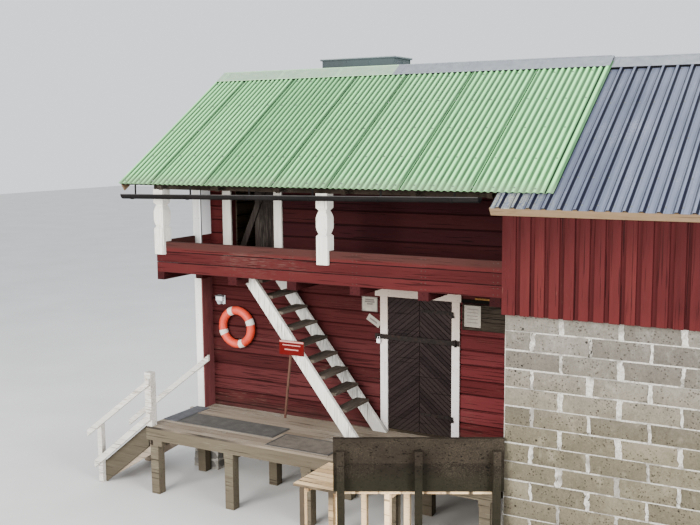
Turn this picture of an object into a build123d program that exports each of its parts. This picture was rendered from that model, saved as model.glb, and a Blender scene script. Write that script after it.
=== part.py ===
from build123d import *
import math
import os

os.makedirs("parts", exist_ok=True)

# Two-storey log sauna with a gallery and a block-based extension.
# Millimetres. X along the facade to the right, Y into the building, Z up.
# The origin is at rest level, below the front left corner of the log house.

# Driving dimensions: log house
house_length = 4820.0
house_depth = 2920.0
log_thickness = 110.0
log_course = 182.0
groove_height = 13.0
groove_depth = 20.0
log_end_reach = 200.0
wall_foot = 768.0
pier_size = 420.0
pier_top_size = 340.0
piers_along = 3

# Driving dimensions: floors and gallery
floor_level = 900.0
floor_thickness = 60.0
sill_rise = 28.0
beam_height = 130.0
beam_width = 130.0
beam_underside = 2790.0
beam_first = 1190.0
beam_shift = 19.0
beam_count = 4
upper_board = 30.0
gallery_reach = 992.0
hatch_near = 740.0
hatch_far = 50.0
parapet_rise = 100.0
plank_height = 130.0
plank_thickness = 28.0
plank_gap = 5.0
plank_count = 3

# Driving dimensions: carved gallery posts
post_size = 150.0
post_lap = 40.0
post_lap_rise = 234.0
post_block_share = 0.3995
post_waist_share = 0.4306
post_bulb_share = 0.5849
post_neck_share = 0.7572
post_head_share = 0.7967
post_neck_width = 96.0
post_waist_width = 104.0
waist_swell = 9.0
neck_swell = 11.0
left_post_x = 80.0
middle_post_shift = 102.0
plate_line = 957.0
plate_width = 100.0
plate_drop = 66.0
post_height = 836.2

# Driving dimensions: roof
roof_pitch = 32.6
ridge_y = 1155.0
green_slope = 2786.0
dark_slope = 3023.0
verge_overhang = 430.0
green_overrun = 480.0
dark_start = 104.0
board_start = 114.0
right_overhang = 250.0
wave_pitch = 76.0
wave_depth = 18.0
wave_points = 6
rib_pitch = 160.0
rib_height = 20.0
rib_top = 26.0
rib_foot = 50.0
sheet_metal = 3.0
sheet_gap = 0.5
board_thickness = 22.0
rafter_depth = 70.0
rafter_width = 60.0
house_rafters = 6
extension_rafters = 4
eave_setback = 20.0
ridge_break = 25.0
cap_leg = 235.0
cap_split = 2440.0
verge_board_depth = 120.0
verge_board_thickness = 22.0
verge_setback = 10.0
gutter_radius = 58.0
gutter_metal = 3.0
gutter_left = -340.0
gutter_fall = 75.0
gutter_reach = 13.0
gutter_drop = 135.7
gutter_end = 280.0
hook_width = 25.0
hook_metal = 5.0
hook_count = 6
hook_shift = 0.42
fascia_height = 90.0
fascia_thickness = 18.0
chimney_left = 1166.0
chimney_width = 1130.0
chimney_depth = 500.0
chimney_setback = 145.0
chimney_rise = 141.0
chimney_cap_thickness = 26.0
chimney_cap_lip = 22.0

# Driving dimensions: extension
extension_gap = 30.0
extension_width = 3200.0
extension_front = 1240.0
block_thickness = 200.0
block_course = 200.0
block_courses = 14
stud_wall = 100.0
cladding = 22.0
cladding_stand_off = 24.0
cladding_drop = 24.0

# Driving dimensions: door, loft opening and their frames
door_width = 872.0
door_to_corner = 1964.0
door_head_drop = 150.0
frame_board = 100.0
frame_thickness = 28.0
lintel_drop = 162.0
lintel_height = 92.0
lintel_left_overrun = 74.0
lintel_right_overrun = 18.0
frame_joint = 1.5
leaf_clearance = 6.0
leaf_thickness = 36.0
leaf_recess = 14.0
loft_left = 486.0
loft_width = 696.0
loft_head_drop = 490.0
loft_left_board = 134.0
loft_right_board = 120.0
loft_top_board = 110.0
loft_leaf_left = 830.0
loft_leaf_recess = 50.0
loft_leaf_thickness = 30.0
loft_prop_width = 90.0
loft_prop_foot = 490.0
loft_prop_lean = 24.0
loft_prop_share = 0.88
loft_prop_thickness = 25.0
casing_board = 128.0
casing_thickness = 24.0
casing_lower_drop = 90.0
casing_upper_rise = 395.0
casing_side_rise = 510.0

# Driving dimensions: door irons
pin_radius = 7.0
running_clearance = 0.4
eye_wall = 5.0
pin_offset = 12.0
pin_stand_off = 20.0
strap_length = 430.0
strap_height = 44.0
strap_tip = 16.0
strap_metal = 6.0
strap_crank = 26.0
strap_low = 1180.0
strap_drop = 148.0
iron_gap = 1.0
iron_height = 26.0
bar_height = 62.0
bar_metal = 10.0
bar_level = 2120.0
bar_stand_off = 8.0
bar_pin_inset = 50.0
bar_overrun = 166.0
bar_eye_height = 34.0
bar_neck = 60.0
lug_overrun = 108.0
lug_width = 8.0
lug_reach = 30.0
lock_width = 46.0
lock_height = 50.0
lock_depth = 20.0
lock_drop = 34.0
lock_round = 7.0
shackle_radius = 15.0
shackle_rod = 4.0
lug_hole_clearance = 1.0

# Driving dimensions: things on the wall and on the ladder
notice_start = 960.0
notice_end = 180.0
notice_drop = 490.0
notice_height = 320.0
notice_thickness = 24.0
lamp_left = 220.0
lamp_drop = 455.0
lamp_width = 128.0
lamp_height = 125.0
lamp_depth = 95.0
lamp_chamfer = 18.0
buoy_x = 570.0
buoy_drop = 295.0
buoy_radius = 290.0
buoy_tube = 58.0
seat_gap = 0.3
sign_left = 1722.0
sign_right = 2078.0
sign_foot = 1930.0
sign_top = 2112.0
sign_board = 10.0
stick_foot_x = 1775.0
stick_foot_z = 1110.0
stick_top_x = 1890.0
stick_top_z = 2060.0
stick_size = 24.0

# Driving dimensions: ladder stair
ladder_slope = 51.8
ladder_head_inset = 95.6
ladder_back = 60.0
ladder_width = 670.0
ladder_stringer = 150.0
ladder_stock = 45.0
ladder_first = 409.0
ladder_last = 91.0
ladder_treads = 9
tread_nosing = 75.0
tread_depth = 175.0
tread_thickness = 34.0

# Driving dimensions: deck, mats and left stair
deck_left = -30.0
deck_end = 54.0
deck_front = 1284.0
deck_boards = 10
deck_board_gap = 6.0
deck_board_thickness = 28.0
wall_gap = 2.0
joist_height = 150.0
joist_width = 48.0
bearer_height = 72.0
bearer_width = 140.0
bearer_first = 150.0
bearer_end = 111.0
bearer_count = 5
deck_post = 125.0
deck_post_shift = 58.0
front_post_line = 1215.0
rear_post_line = 235.0
joist_rear = 160.0
mat_thickness = 10.0
mat_inset = 12.0
stair_mat_right = 205.0
stair_mat_front = 942.0
stair_mat_back = 245.0
long_mat_left = 220.0
long_mat_right = 1720.0
long_mat_front = 960.0
long_mat_back = 550.0
door_mat_left = 1800.0
door_mat_right = 2690.0
door_mat_front = 1240.0
door_mat_back = 770.0
stair_rise = 180.0
stair_run = 225.0
stair_treads = 4
stair_stringer = 190.0
saw_heel = 90.0
stair_stock = 45.0
stair_rear = 270.0
stair_tread_overlap = 25.0
stair_tread_thickness = 40.0
newel = 100.0
newel_height = 710.0
rail_post = 72.0
rail_post_x = -850.0
rail_height = 85.0
rail_stock = 34.0
rail_slope = 0.755
rail_left = -1040.0
rail_right = 66.0
rail_top_at_deck = 1470.0
toe_board = 100.0
toe_board_left = -930.0
toe_board_lift = 20.0
rear_rail_left = -1250.0
rear_rail_right = 220.0

# Driving dimensions: landing and retaining plank
landing_reach = 535.0
landing_front = 2085.0
landing_top = 857.0
slat_pitch = 113.0
slat_width = 99.0
slat_thickness = 28.0
slat_count = 7
slat_end_gap = 30.0
trestle_width = 60.0
trestle_height = 70.0
trestle_first = 80.0
trestle_second = 445.0
trestle_third = 985.0
plank_overlap = 25.0
plank_stand_off = 49.5
plank_run = 1600.0
plank_swing = 840.5
plank_top = 1450.0
plank_depth = 580.0
plank_stock = 55.0
stake_size = 80.0
stake_count = 3
stake_inset = 40.0
stake_drop = 120.0

# Values that follow from the driving dimensions
slope = math.radians(roof_pitch)
tangent = math.tan(slope)
cosine = math.cos(slope)
sine = math.sin(slope)
rear_inner = house_depth - log_thickness
gable_inner = house_length - log_thickness
upper_level = beam_underside + beam_height
last_beam = gable_inner - wall_gap - beam_width / 2
beam_spacing = (last_beam + beam_shift - beam_first) / beam_count
parapet_foot = beam_underside + parapet_rise
gallery_level = upper_level + upper_board
parapet_top = parapet_foot + plank_count * plank_height + (plank_count - 1) * plank_gap
parapet_back = gallery_reach - plank_thickness
door_left = house_length - door_to_corner
door_right = door_left + door_width
door_head = beam_underside - door_head_drop
lintel_foot = beam_underside - lintel_drop
strap_high = lintel_foot - strap_drop
bar_left = door_left - bar_overrun
lug_x = door_left - lug_overrun
notice_left = house_length - notice_start
notice_right = house_length - notice_end
notice_foot = beam_underside - notice_drop
lamp_foot = beam_underside - lamp_drop
buoy_z = lamp_foot - buoy_drop
casing_lower_top = beam_underside - casing_lower_drop
casing_upper_foot = beam_underside + casing_upper_rise
casing_side_foot = beam_underside + casing_side_rise
middle_post_x = house_length / 2 + middle_post_shift
leaf_foot = floor_level + sill_rise + leaf_clearance
extension_left = house_length + extension_gap
extension_right = extension_left + extension_width
block_top = block_course * block_courses
cladding_face = extension_front + cladding_stand_off + cladding
cladding_left = extension_left - cladding_stand_off
roof_right = extension_right + cladding + right_overhang
green_right = house_length + green_overrun
dark_left = house_length - dark_start
board_split = house_length - board_start
green_foot = wave_depth + sheet_metal
house_board_foot = green_foot + board_thickness
house_rafter_foot = house_board_foot + rafter_depth
dark_crest = green_foot + sheet_gap
dark_foot = dark_crest + rib_height + sheet_metal
extension_board_foot = dark_foot + board_thickness
extension_rafter_foot = extension_board_foot + rafter_depth
cap_lift = sheet_metal + seat_gap
rafter_length = green_slope - eave_setback
dark_length = dark_slope - eave_setback
fascia_line = dark_length + seat_gap
beam_lines = [beam_first + beam_spacing * i for i in range(beam_count)]
beam_lines.append(last_beam)
pin_x = door_right + pin_offset
pin_y = -frame_thickness - pin_stand_off
bar_back = -frame_thickness - bar_stand_off
bar_front = bar_back - bar_metal
bar_pin_x = door_right + bar_pin_inset
bar_pin_y = (bar_back + bar_front) / 2
eye_radius = pin_radius + running_clearance + eye_wall
deck_board_width = (deck_front - wall_gap - (deck_boards - 1) * deck_board_gap) / deck_boards
joist_top = floor_level - deck_board_thickness
mat_top = floor_level + mat_thickness
bearer_top = joist_top - joist_height
bearer_foot = bearer_top - bearer_height
ladder_tangent = math.tan(math.radians(ladder_slope))
climb = (upper_level - floor_level) / ladder_tangent
ladder_foot_x = beam_first - ladder_head_inset + climb
ladder_rise = (upper_level - floor_level - ladder_first - ladder_last) / (ladder_treads - 1)
ladder_front = -ladder_back - ladder_width
deck_right = house_length - deck_end
bearer_last = deck_right - bearer_end
plank_right_x = extension_left + plank_overlap
plank_right_y = -extension_front - plank_stand_off
plank_left_x = plank_right_x - plank_run
plank_left_y = plank_right_y - plank_swing
landing_left = plank_left_x - landing_reach
gutter_line = green_slope * cosine - ridge_y + gutter_reach
gutter_right = house_length - gutter_end
post_lap_foot = parapet_foot + post_lap_rise
post_block_top = post_lap_foot + post_block_share * post_height
post_waist = post_lap_foot + post_waist_share * post_height
post_bulb = post_lap_foot + post_bulb_share * post_height
post_neck = post_lap_foot + post_neck_share * post_height
post_head = post_lap_foot + post_head_share * post_height
plate_foot = post_lap_foot + post_height
plate_front = plate_line + plate_width / 2
apex = plate_foot + plate_drop + house_rafter_foot / cosine + (ridge_y + plate_front) * tangent
chimney_top = apex + chimney_rise


def block(x0, x1, y0, y1, z0, z1):
    """A rectangular solid between two corners."""
    return Pos(x0, y0, z0) * Box(x1 - x0, y1 - y0, z1 - z0, align=(Align.MIN, Align.MIN, Align.MIN))


def section_xy(points, z0, z1):
    """A plan outline, raised from z0 to z1."""
    face = make_face(Polyline([(x, y, z0) for x, y in points], close=True))
    return extrude(face, amount=z1 - z0, dir=(0, 0, 1))


def section_yz(points, x0, x1):
    """A side outline, drawn out along X."""
    face = make_face(Polyline([(x0, y, z) for y, z in points], close=True))
    return extrude(face, amount=x1 - x0, dir=(1, 0, 0))


def section_xz(points, y0, y1):
    """A front outline, drawn out along Y."""
    face = make_face(Polyline([(x, y0, z) for x, z in points], close=True))
    return extrude(face, amount=y1 - y0, dir=(0, 1, 0))


def roof_height(y, depth):
    """Height over y of the surface that lies depth below the crests of the sheets."""
    return apex - depth / cosine - abs(y - ridge_y) * tangent


loft_head = roof_height(0, house_rafter_foot) - loft_head_drop
gutter_rim = roof_height(-gutter_line, 0) - gutter_drop


def roof_prism(depth, x0, x1):
    """A gabled prism from rest level up to the surface depth below the crests."""
    top = apex - depth / cosine
    half = top / tangent
    return section_yz([(ridge_y - half, 0), (ridge_y, top), (ridge_y + half, 0)], x0, x1)


def roof_layer(top, foot, x0, x1, length):
    """The two slabs of one roof layer, cut plumb at the ridge and square at the eaves."""
    pieces = []
    for side in (-1, 1):
        outline = []
        for depth in (top, foot):
            y = ridge_y + side * (length * cosine - depth * sine)
            z = apex - length * sine - depth * cosine
            outline.append((y, z))
        ridge_line = ridge_y + side * sheet_gap
        ridge = [(ridge_line, roof_height(ridge_line, depth)) for depth in (foot, top)]
        pieces.append(section_yz(outline + ridge, x0, x1))
    return pieces


def chevron(top, foot, x0, x1, length):
    """One folded piece over the ridge with a leg down each slope."""
    outline = [(ridge_y, apex - foot / cosine)]
    for side, order in ((-1, (foot, top)), (1, (top, foot))):
        for depth in order:
            outline.append((ridge_y + side * (length * cosine - depth * sine),
                            apex - length * sine - depth * cosine))
        if side < 0:
            outline.append((ridge_y, apex - top / cosine))
    return section_yz(outline, x0, x1)


def sheet(profile, start, end, side):
    """A roof sheet: a profile of (along the eave, depth) pairs, drawn down one slope."""
    points = []
    for x, depth in profile:
        y = ridge_y + side * (start * cosine - depth * sine)
        z = apex - start * sine - depth * cosine
        points.append((x, y, z))
    face = make_face(Polyline(points, close=True))
    return extrude(face, amount=end - start, dir=(0, side * cosine, -sine))


def log_profile(z0, z1, outer, inner):
    """Both faces of a log wall, with a V groove at every course line."""
    lines = []
    course = 0
    while wall_foot + course * log_course < z1 - groove_height:
        level = wall_foot + course * log_course
        if level > z0 + groove_height:
            lines.append(level)
        course += 1
    turn = 1 if inner > outer else -1
    rising = [(outer, z0)]
    for level in lines:
        rising += [(outer, level - groove_height), (outer + turn * groove_depth, level),
                   (outer, level + groove_height)]
    rising.append((outer, z1))
    falling = [(inner, z1)]
    for level in reversed(lines):
        falling += [(inner, level + groove_height), (inner - turn * groove_depth, level),
                    (inner, level - groove_height)]
    falling.append((inner, z0))
    return rising + falling


def long_wall(x0, x1, z0, z1, y_outer, y_inner):
    """A log wall along the facade."""
    return section_yz(log_profile(z0, z1, y_outer, y_inner), x0, x1)


def gable_wall(x_outer, x_inner):
    """A log wall across the house, with its log ends past both long walls."""
    profile = log_profile(wall_foot, apex, x_outer, x_inner)
    return section_xz(profile, -log_end_reach, house_depth + log_end_reach)


def save(name, *solids):
    """One node, as a single solid or as a group of solids."""
    found = []
    for item in solids:
        found += list(item.solids())
    shape = found[0] if len(found) == 1 else Compound(children=found)
    export_step(shape, "parts/" + name + ".step")
    print(name, len(found), round(sum(s.volume for s in found) / 1e9, 4))


# Stone piers, battered, under the four corners and the middle of both long walls
piers = []
pier_step = (extension_left - wall_gap - pier_size / 2 - log_thickness / 2) / (piers_along - 1)
for i in range(piers_along):
    pier_x = log_thickness / 2 + i * pier_step
    for pier_y in (log_thickness / 2, house_depth - log_thickness / 2):
        foot = Pos(pier_x, pier_y, 0) * Rectangle(pier_size, pier_size)
        head = Pos(pier_x, pier_y, wall_foot) * Rectangle(pier_top_size, pier_top_size)
        piers.append(loft([foot, head]))
save("foundation_piers", *piers)

# Floor beams that run from the rear wall out to the parapet, and the gable log's own arm at the left
beams = []
plank_seat = block(0, house_length, -gallery_reach, -parapet_back, parapet_foot, upper_level)
for x in beam_lines:
    beams.append(block(x - beam_width / 2, x + beam_width / 2, -gallery_reach, rear_inner, beam_underside,
                       upper_level) - plank_seat)
arm = block(0, log_thickness, -gallery_reach, -log_end_reach - seat_gap, beam_underside,
            upper_level) - plank_seat
save("floor_beams", arm, *beams)

# Gable walls, trimmed to the roof boards
left_gable = gable_wall(0, log_thickness) & roof_prism(house_board_foot, -wall_gap, house_length)
right_gable = gable_wall(house_length, gable_inner) & roof_prism(extension_board_foot, 0, house_length + wall_gap)
save("gable_logs", left_gable, right_gable)

# Front wall beside and over the door
save("front_logs_left", long_wall(log_thickness, door_left, wall_foot, door_head, 0, log_thickness))
save("front_logs_right", long_wall(door_right, gable_inner, wall_foot, door_head, 0, log_thickness))
over_door = long_wall(log_thickness, gable_inner, door_head, upper_level, 0, log_thickness)
for beam in beams:
    over_door -= beam
save("front_logs_over", over_door)

# Front wall of the loft storey, left of, right of and over its doorway
loft_right = loft_left + loft_width
loft_roof = roof_prism(house_rafter_foot, 0, house_length)
loft_pieces = []
for x0, x1, z0 in ((log_thickness, loft_left, upper_level), (loft_right, gable_inner, upper_level),
                   (loft_left + seat_gap, loft_right - seat_gap, loft_head)):
    loft_pieces.append(long_wall(x0, x1, z0, apex, 0, log_thickness) & loft_roof)
save("front_logs_loft", *loft_pieces)

# Rear wall
rear_wall = long_wall(log_thickness, gable_inner, wall_foot, apex, house_depth, rear_inner)
save("rear_logs", rear_wall & loft_roof)

# Ground floor with the sill log of the doorway
ground_floor = block(log_thickness, gable_inner, log_thickness, rear_inner, floor_level - floor_thickness,
                     floor_level)
ground_floor += block(door_left, door_right, 0, log_thickness, wall_foot, floor_level + sill_rise)
save("ground_floor", ground_floor)

# Upper floor: the loft inside, and the gallery with a hatch for the ladder stair
hatch_left = beam_lines[0] + beam_width / 2
hatch_right = beam_lines[1] - beam_width / 2
gallery = block(0, cladding_left - wall_gap, -parapet_back, 0, upper_level, gallery_level)
gallery -= block(hatch_left, hatch_right, -hatch_near, -hatch_far, upper_level, gallery_level)
log_end_front = -log_end_reach - casing_thickness - wall_gap
gallery -= block(0, casing_board + wall_gap, log_end_front, 0, upper_level, gallery_level)
gallery -= block(gable_inner - wall_gap, cladding_left, log_end_front, 0, upper_level, gallery_level)
loft = block(log_thickness, gable_inner, log_thickness, rear_inner, upper_level, gallery_level)
save("upper_floor", gallery, loft)

# Parapet planks along the front and back to the corner casing
parapet = []
for i in range(plank_count):
    z = parapet_foot + i * (plank_height + plank_gap)
    parapet.append(block(0, cladding_left - wall_gap, -gallery_reach, -parapet_back, z, z + plank_height))
    if i:
        parapet.append(block(0, plank_thickness, -parapet_back + sheet_gap, log_end_front, z,
                             z + plank_height))
save("gallery_parapet", *parapet)

# Carved posts: the same outline from the front and from the side, lapped over the parapet
half = post_size / 2


def carved(axis_x, axis_y):
    """A square post with a waist, a bulb and a neck below its head."""
    solids = []
    for direction in ("front", "side"):
        edges = []
        for sign in (1, -1):
            def at(w, z):
                if direction == "front":
                    return (axis_x + sign * w, axis_y, z)
                return (axis_x, axis_y + sign * w, z)
            waist = post_waist_width / 2
            neck = post_neck_width / 2
            low = (post_waist + post_bulb) / 2
            high = (post_bulb + post_neck) / 2
            edges.append(Line(at(half, post_lap_foot), at(half, post_block_top)))
            edges.append(Line(at(half, post_block_top), at(waist, post_waist)))
            edges.append(ThreePointArc(at(waist, post_waist), at((waist + half) / 2 + waist_swell, low),
                                       at(half, post_bulb)))
            edges.append(ThreePointArc(at(half, post_bulb), at((neck + half) / 2 + neck_swell, high),
                                       at(neck, post_neck)))
            edges.append(Line(at(neck, post_neck), at(half, post_head)))
            edges.append(Line(at(half, post_head), at(half, plate_foot)))
        for z in (post_lap_foot, plate_foot):
            if direction == "front":
                edges.append(Line((axis_x - half, axis_y, z), (axis_x + half, axis_y, z)))
            else:
                edges.append(Line((axis_x, axis_y - half, z), (axis_x, axis_y + half, z)))
        face = make_face(edges)
        way = (0, 1, 0) if direction == "front" else (1, 0, 0)
        solids.append(extrude(face, amount=half, dir=way, both=True))
    return solids[0] & solids[1]


post_axis_y = -gallery_reach - post_lap + half
posts = []
for post_x in (left_post_x, middle_post_x):
    post = carved(post_x, post_axis_y)
    post -= block(post_x - half, post_x + half, -gallery_reach, half, post_lap_foot, parapet_top)
    posts.append(post)
save("gallery_posts", *posts)

# Eave plate on the posts, and rafter pairs
plate_right = board_split
plate = block(0, plate_right, -plate_line - plate_width / 2, -plate_line + plate_width / 2, plate_foot,
              apex)
timbers = [plate & roof_prism(house_rafter_foot + seat_gap, 0, plate_right)]
house_step = (gable_inner - log_thickness - 3 * rafter_width) / (house_rafters - 1)
for i in range(house_rafters):
    x = log_thickness + rafter_width + i * house_step
    timbers += roof_layer(house_board_foot, house_rafter_foot, x, x + rafter_width, rafter_length)
extension_step = (extension_width - 2 * stud_wall - 3 * rafter_width) / (extension_rafters - 1)
for i in range(extension_rafters):
    x = extension_left + stud_wall + rafter_width + i * extension_step
    timbers += roof_layer(extension_board_foot, extension_rafter_foot, x, x + rafter_width, dark_length)
save("roof_timbers", *timbers)

# Roof boards of the house and, a little lower, of the extension
board_left = verge_board_thickness - verge_overhang
boards = roof_layer(green_foot, house_board_foot, board_left, board_split - sheet_gap, rafter_length)
boards += roof_layer(dark_foot, extension_board_foot, board_split, roof_right - verge_board_thickness,
                     dark_length)
save("roof_boards", *boards)

# Corrugated sheets
waves = int(round((green_right + verge_overhang) / wave_pitch))
upper_edge = []
for i in range(waves * wave_points + 1):
    along = i * wave_pitch / wave_points
    upper_edge.append((along - verge_overhang,
                       wave_depth / 2 * (1 - math.cos(2 * math.pi * i / wave_points))))
wave_profile = upper_edge + [(x, depth + sheet_metal) for x, depth in reversed(upper_edge)]
save("green_sheets", sheet(wave_profile, ridge_break, green_slope, -1),
     sheet(wave_profile, ridge_break, green_slope, 1))

# Trapezoidal sheets
ribs = int((roof_right - dark_left) / rib_pitch)
rib_edge = [(dark_left, dark_crest + rib_height)]
for i in range(ribs):
    middle = dark_left + (i + 0.5) * rib_pitch
    rib_edge += [(middle - rib_foot / 2, dark_crest + rib_height), (middle - rib_top / 2, dark_crest),
                 (middle + rib_top / 2, dark_crest), (middle + rib_foot / 2, dark_crest + rib_height)]
rib_edge.append((roof_right, dark_crest + rib_height))
rib_profile = rib_edge + [(x, depth + sheet_metal) for x, depth in reversed(rib_edge)]
save("dark_sheets", sheet(rib_profile, ridge_break, dark_slope, -1),
     sheet(rib_profile, ridge_break, dark_slope, 1))

# Ridge caps: over the waves, and lower over the ribs
cap_green = chevron(-cap_lift, sheet_metal - cap_lift, -verge_overhang, cap_split, cap_leg)
cap_grey = chevron(-cap_lift, sheet_metal - cap_lift, cap_split + sheet_gap, green_right, cap_leg)
cap_low = chevron(dark_crest - cap_lift, dark_crest + sheet_metal - cap_lift, green_right + sheet_gap,
                  roof_right, cap_leg)
save("ridge_caps", cap_green, cap_grey, cap_low)

# Verge boards and the fascia of the extension
verges = roof_layer(green_foot + seat_gap, green_foot + verge_board_depth, -verge_overhang,
                    board_left - seat_gap,
                    rafter_length - verge_setback)
verges += roof_layer(dark_foot + seat_gap, dark_foot + verge_board_depth,
                     roof_right - verge_board_thickness + seat_gap, roof_right, dark_length)
fascias = []
fascia_head = dark_foot + seat_gap
fascia_low = dark_foot + fascia_height
fascia_outer = fascia_line + fascia_thickness
for side in (-1, 1):
    corners = []
    for along, depth in ((fascia_line, fascia_head), (fascia_outer, fascia_head),
                         (fascia_outer, fascia_low), (fascia_line, fascia_low)):
        corners.append((ridge_y + side * (along * cosine - depth * sine),
                        apex - along * sine - depth * cosine))
    fascias.append(section_yz(corners, board_split, roof_right - verge_board_thickness))
save("verge_and_fascia_boards", *verges, *fascias)

# Half-round gutter on bent hooks, falling to the left
ring = make_face([
    ThreePointArc((gutter_left, -gutter_line - gutter_radius, gutter_rim),
                  (gutter_left, -gutter_line, gutter_rim - gutter_radius),
                  (gutter_left, -gutter_line + gutter_radius, gutter_rim)),
    Line((gutter_left, -gutter_line + gutter_radius, gutter_rim),
         (gutter_left, -gutter_line + gutter_radius - gutter_metal, gutter_rim)),
    ThreePointArc((gutter_left, -gutter_line + gutter_radius - gutter_metal, gutter_rim),
                  (gutter_left, -gutter_line, gutter_rim - gutter_radius + gutter_metal),
                  (gutter_left, -gutter_line - gutter_radius + gutter_metal, gutter_rim)),
    Line((gutter_left, -gutter_line - gutter_radius + gutter_metal, gutter_rim),
         (gutter_left, -gutter_line - gutter_radius, gutter_rim)),
])
gutter_run = gutter_right - gutter_left
gutter_length = math.hypot(gutter_run, gutter_fall)
gutter = extrude(ring, amount=gutter_length, dir=(gutter_run / gutter_length, 0,
                                                  gutter_fall / gutter_length))
hooks = []
hook_inner = gutter_radius + seat_gap
hook_outer = hook_inner + hook_metal
hook_back = -gutter_line + hook_inner
for i in range(hook_count):
    x = log_thickness + rafter_width + (i - hook_shift) * house_step
    rim = gutter_rim + gutter_fall * (x - gutter_left) / gutter_run
    top = roof_height(hook_back, house_board_foot)
    face = make_face([
        Line((x, hook_back, top), (x, hook_back, rim)),
        ThreePointArc((x, hook_back, rim), (x, -gutter_line, rim - hook_inner),
                      (x, -gutter_line - hook_inner, rim)),
        Line((x, -gutter_line - hook_inner, rim), (x, -gutter_line - hook_outer, rim)),
        ThreePointArc((x, -gutter_line - hook_outer, rim), (x, -gutter_line, rim - hook_outer),
                      (x, hook_back + hook_metal, rim)),
        Line((x, hook_back + hook_metal, rim), (x, hook_back + hook_metal, top)),
        Line((x, hook_back + hook_metal, top), (x, hook_back, top)),
    ])
    hooks.append(extrude(face, amount=hook_width, dir=(1, 0, 0)))
save("gutter", gutter, *hooks)

# Chimney box with its cap, seated on the rear slope
chimney_front = ridge_y + chimney_setback
chimney = block(chimney_left, chimney_left + chimney_width, chimney_front, chimney_front + chimney_depth,
                wall_foot, chimney_top)
chimney += block(chimney_left - chimney_cap_lip, chimney_left + chimney_width + chimney_cap_lip,
                 chimney_front - chimney_cap_lip,
                 chimney_front + chimney_depth + chimney_cap_lip, chimney_top - chimney_cap_thickness,
                 chimney_top)
save("chimney", chimney - roof_prism(-seat_gap, 0, house_length) - cap_green - cap_grey)

# Block walls of the extension
block_rear = house_depth
side_front = -extension_front + block_thickness + seat_gap
side_rear = block_rear - block_thickness - seat_gap
block_walls = [
    block(extension_left, extension_right, -extension_front, -extension_front + block_thickness, 0,
          block_top),
    block(extension_left, extension_right, block_rear - block_thickness, block_rear, 0, block_top),
    block(extension_left, extension_left + block_thickness, side_front, side_rear, 0, block_top),
    block(extension_right - block_thickness, extension_right, side_front, side_rear, 0, block_top),
]
save("block_walls", *block_walls)

# Board walls above, with cladding that hangs over the head of the blocks
cladding_right = extension_right + cladding_stand_off
board_foot = block_top - cladding_drop
stud_back = -extension_front + stud_wall
front_outline = [(-cladding_face, board_foot), (-extension_front - seat_gap, board_foot),
                 (-extension_front - seat_gap, block_top),
                 (stud_back, block_top), (stud_back, apex), (-cladding_face, apex)]
rear_outline = [(house_depth - extension_front - y, z) for y, z in front_outline]
under_rafters = roof_prism(extension_rafter_foot, 0, roof_right)
board_walls = []
for outline in (front_outline, rear_outline):
    board_walls.append(section_yz(outline, cladding_left, cladding_right) & under_rafters)
under_boards = roof_prism(extension_board_foot, 0, roof_right)
for skin, wall_outer, wall_inner in ((cladding_left, extension_left, extension_left + stud_wall),
                                     (cladding_right, extension_right, extension_right - stud_wall)):
    wall = block(min(wall_outer, wall_inner), max(wall_outer, wall_inner), stud_back + seat_gap,
                 house_depth - stud_wall - seat_gap, block_top, apex)
    reach = seat_gap if skin < wall_outer else -seat_gap
    outer = block(min(skin, wall_outer - reach), max(skin, wall_outer - reach), stud_back + seat_gap,
                  house_depth - stud_wall - seat_gap, board_foot, apex)
    outer += block(min(skin, wall_outer), max(skin, wall_outer), stud_back + seat_gap,
                   house_depth - stud_wall - seat_gap, block_top, apex)
    board_walls.append((wall + outer) & under_boards)
save("board_walls", *board_walls)

# Casing boards on the left corner's log ends
casing_face = -log_end_reach - casing_thickness
casing_under = roof_prism(house_rafter_foot, -wall_gap, house_length)
side_y = -log_end_reach + seat_gap
save("corner_casing",
     block(0, casing_board, casing_face, -log_end_reach, floor_level, casing_lower_top),
     block(log_thickness, casing_board, side_y, -seat_gap, floor_level, casing_lower_top),
     block(0, casing_board, casing_face, -log_end_reach, casing_upper_foot, apex) & casing_under,
     block(log_thickness, casing_board, side_y, -seat_gap, casing_side_foot, apex) & casing_under)

# Door frame boards
frame_left = door_left - frame_board
frame_right = door_right + frame_board
save("door_frame",
     block(frame_left, door_left, -frame_thickness, 0, floor_level, lintel_foot - frame_joint),
     block(door_right, frame_right, -frame_thickness, 0, floor_level, lintel_foot - frame_joint),
     block(frame_left - lintel_left_overrun, frame_right + lintel_right_overrun, -frame_thickness, 0,
           lintel_foot, lintel_foot + lintel_height))

# Loft doorway: frame boards, fixed leaf and a loose grey board that props it
loft_frame_left = loft_left - loft_left_board
loft_frame_right = loft_right + loft_right_board
save("loft_frame",
     block(loft_frame_left, loft_left, -frame_thickness, 0, gallery_level, loft_head - frame_joint),
     block(loft_right, loft_frame_right, -frame_thickness, 0, gallery_level, loft_head - frame_joint),
     block(loft_frame_left, loft_frame_right, -frame_thickness, 0, loft_head, loft_head + loft_top_board))
loft_door = block(loft_leaf_left, loft_right, loft_leaf_recess, loft_leaf_recess + loft_leaf_thickness,
                  upper_level, loft_head)
prop_height = loft_prop_share * (loft_head - upper_level)
prop_run = prop_height * math.tan(math.radians(loft_prop_lean))
prop = section_xz([(loft_prop_foot, upper_level), (loft_prop_foot + loft_prop_width, upper_level),
                   (loft_prop_foot + loft_prop_width + prop_run, upper_level + prop_height),
                   (loft_prop_foot + prop_run, upper_level + prop_height)],
                  loft_leaf_recess - loft_prop_thickness, loft_leaf_recess - seat_gap)
save("loft_door", loft_door, prop)

# Door leaf
save("door_leaf", block(door_left + leaf_clearance, door_right - leaf_clearance, -leaf_recess,
                        leaf_thickness - leaf_recess, leaf_foot, lintel_foot - leaf_clearance))

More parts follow.
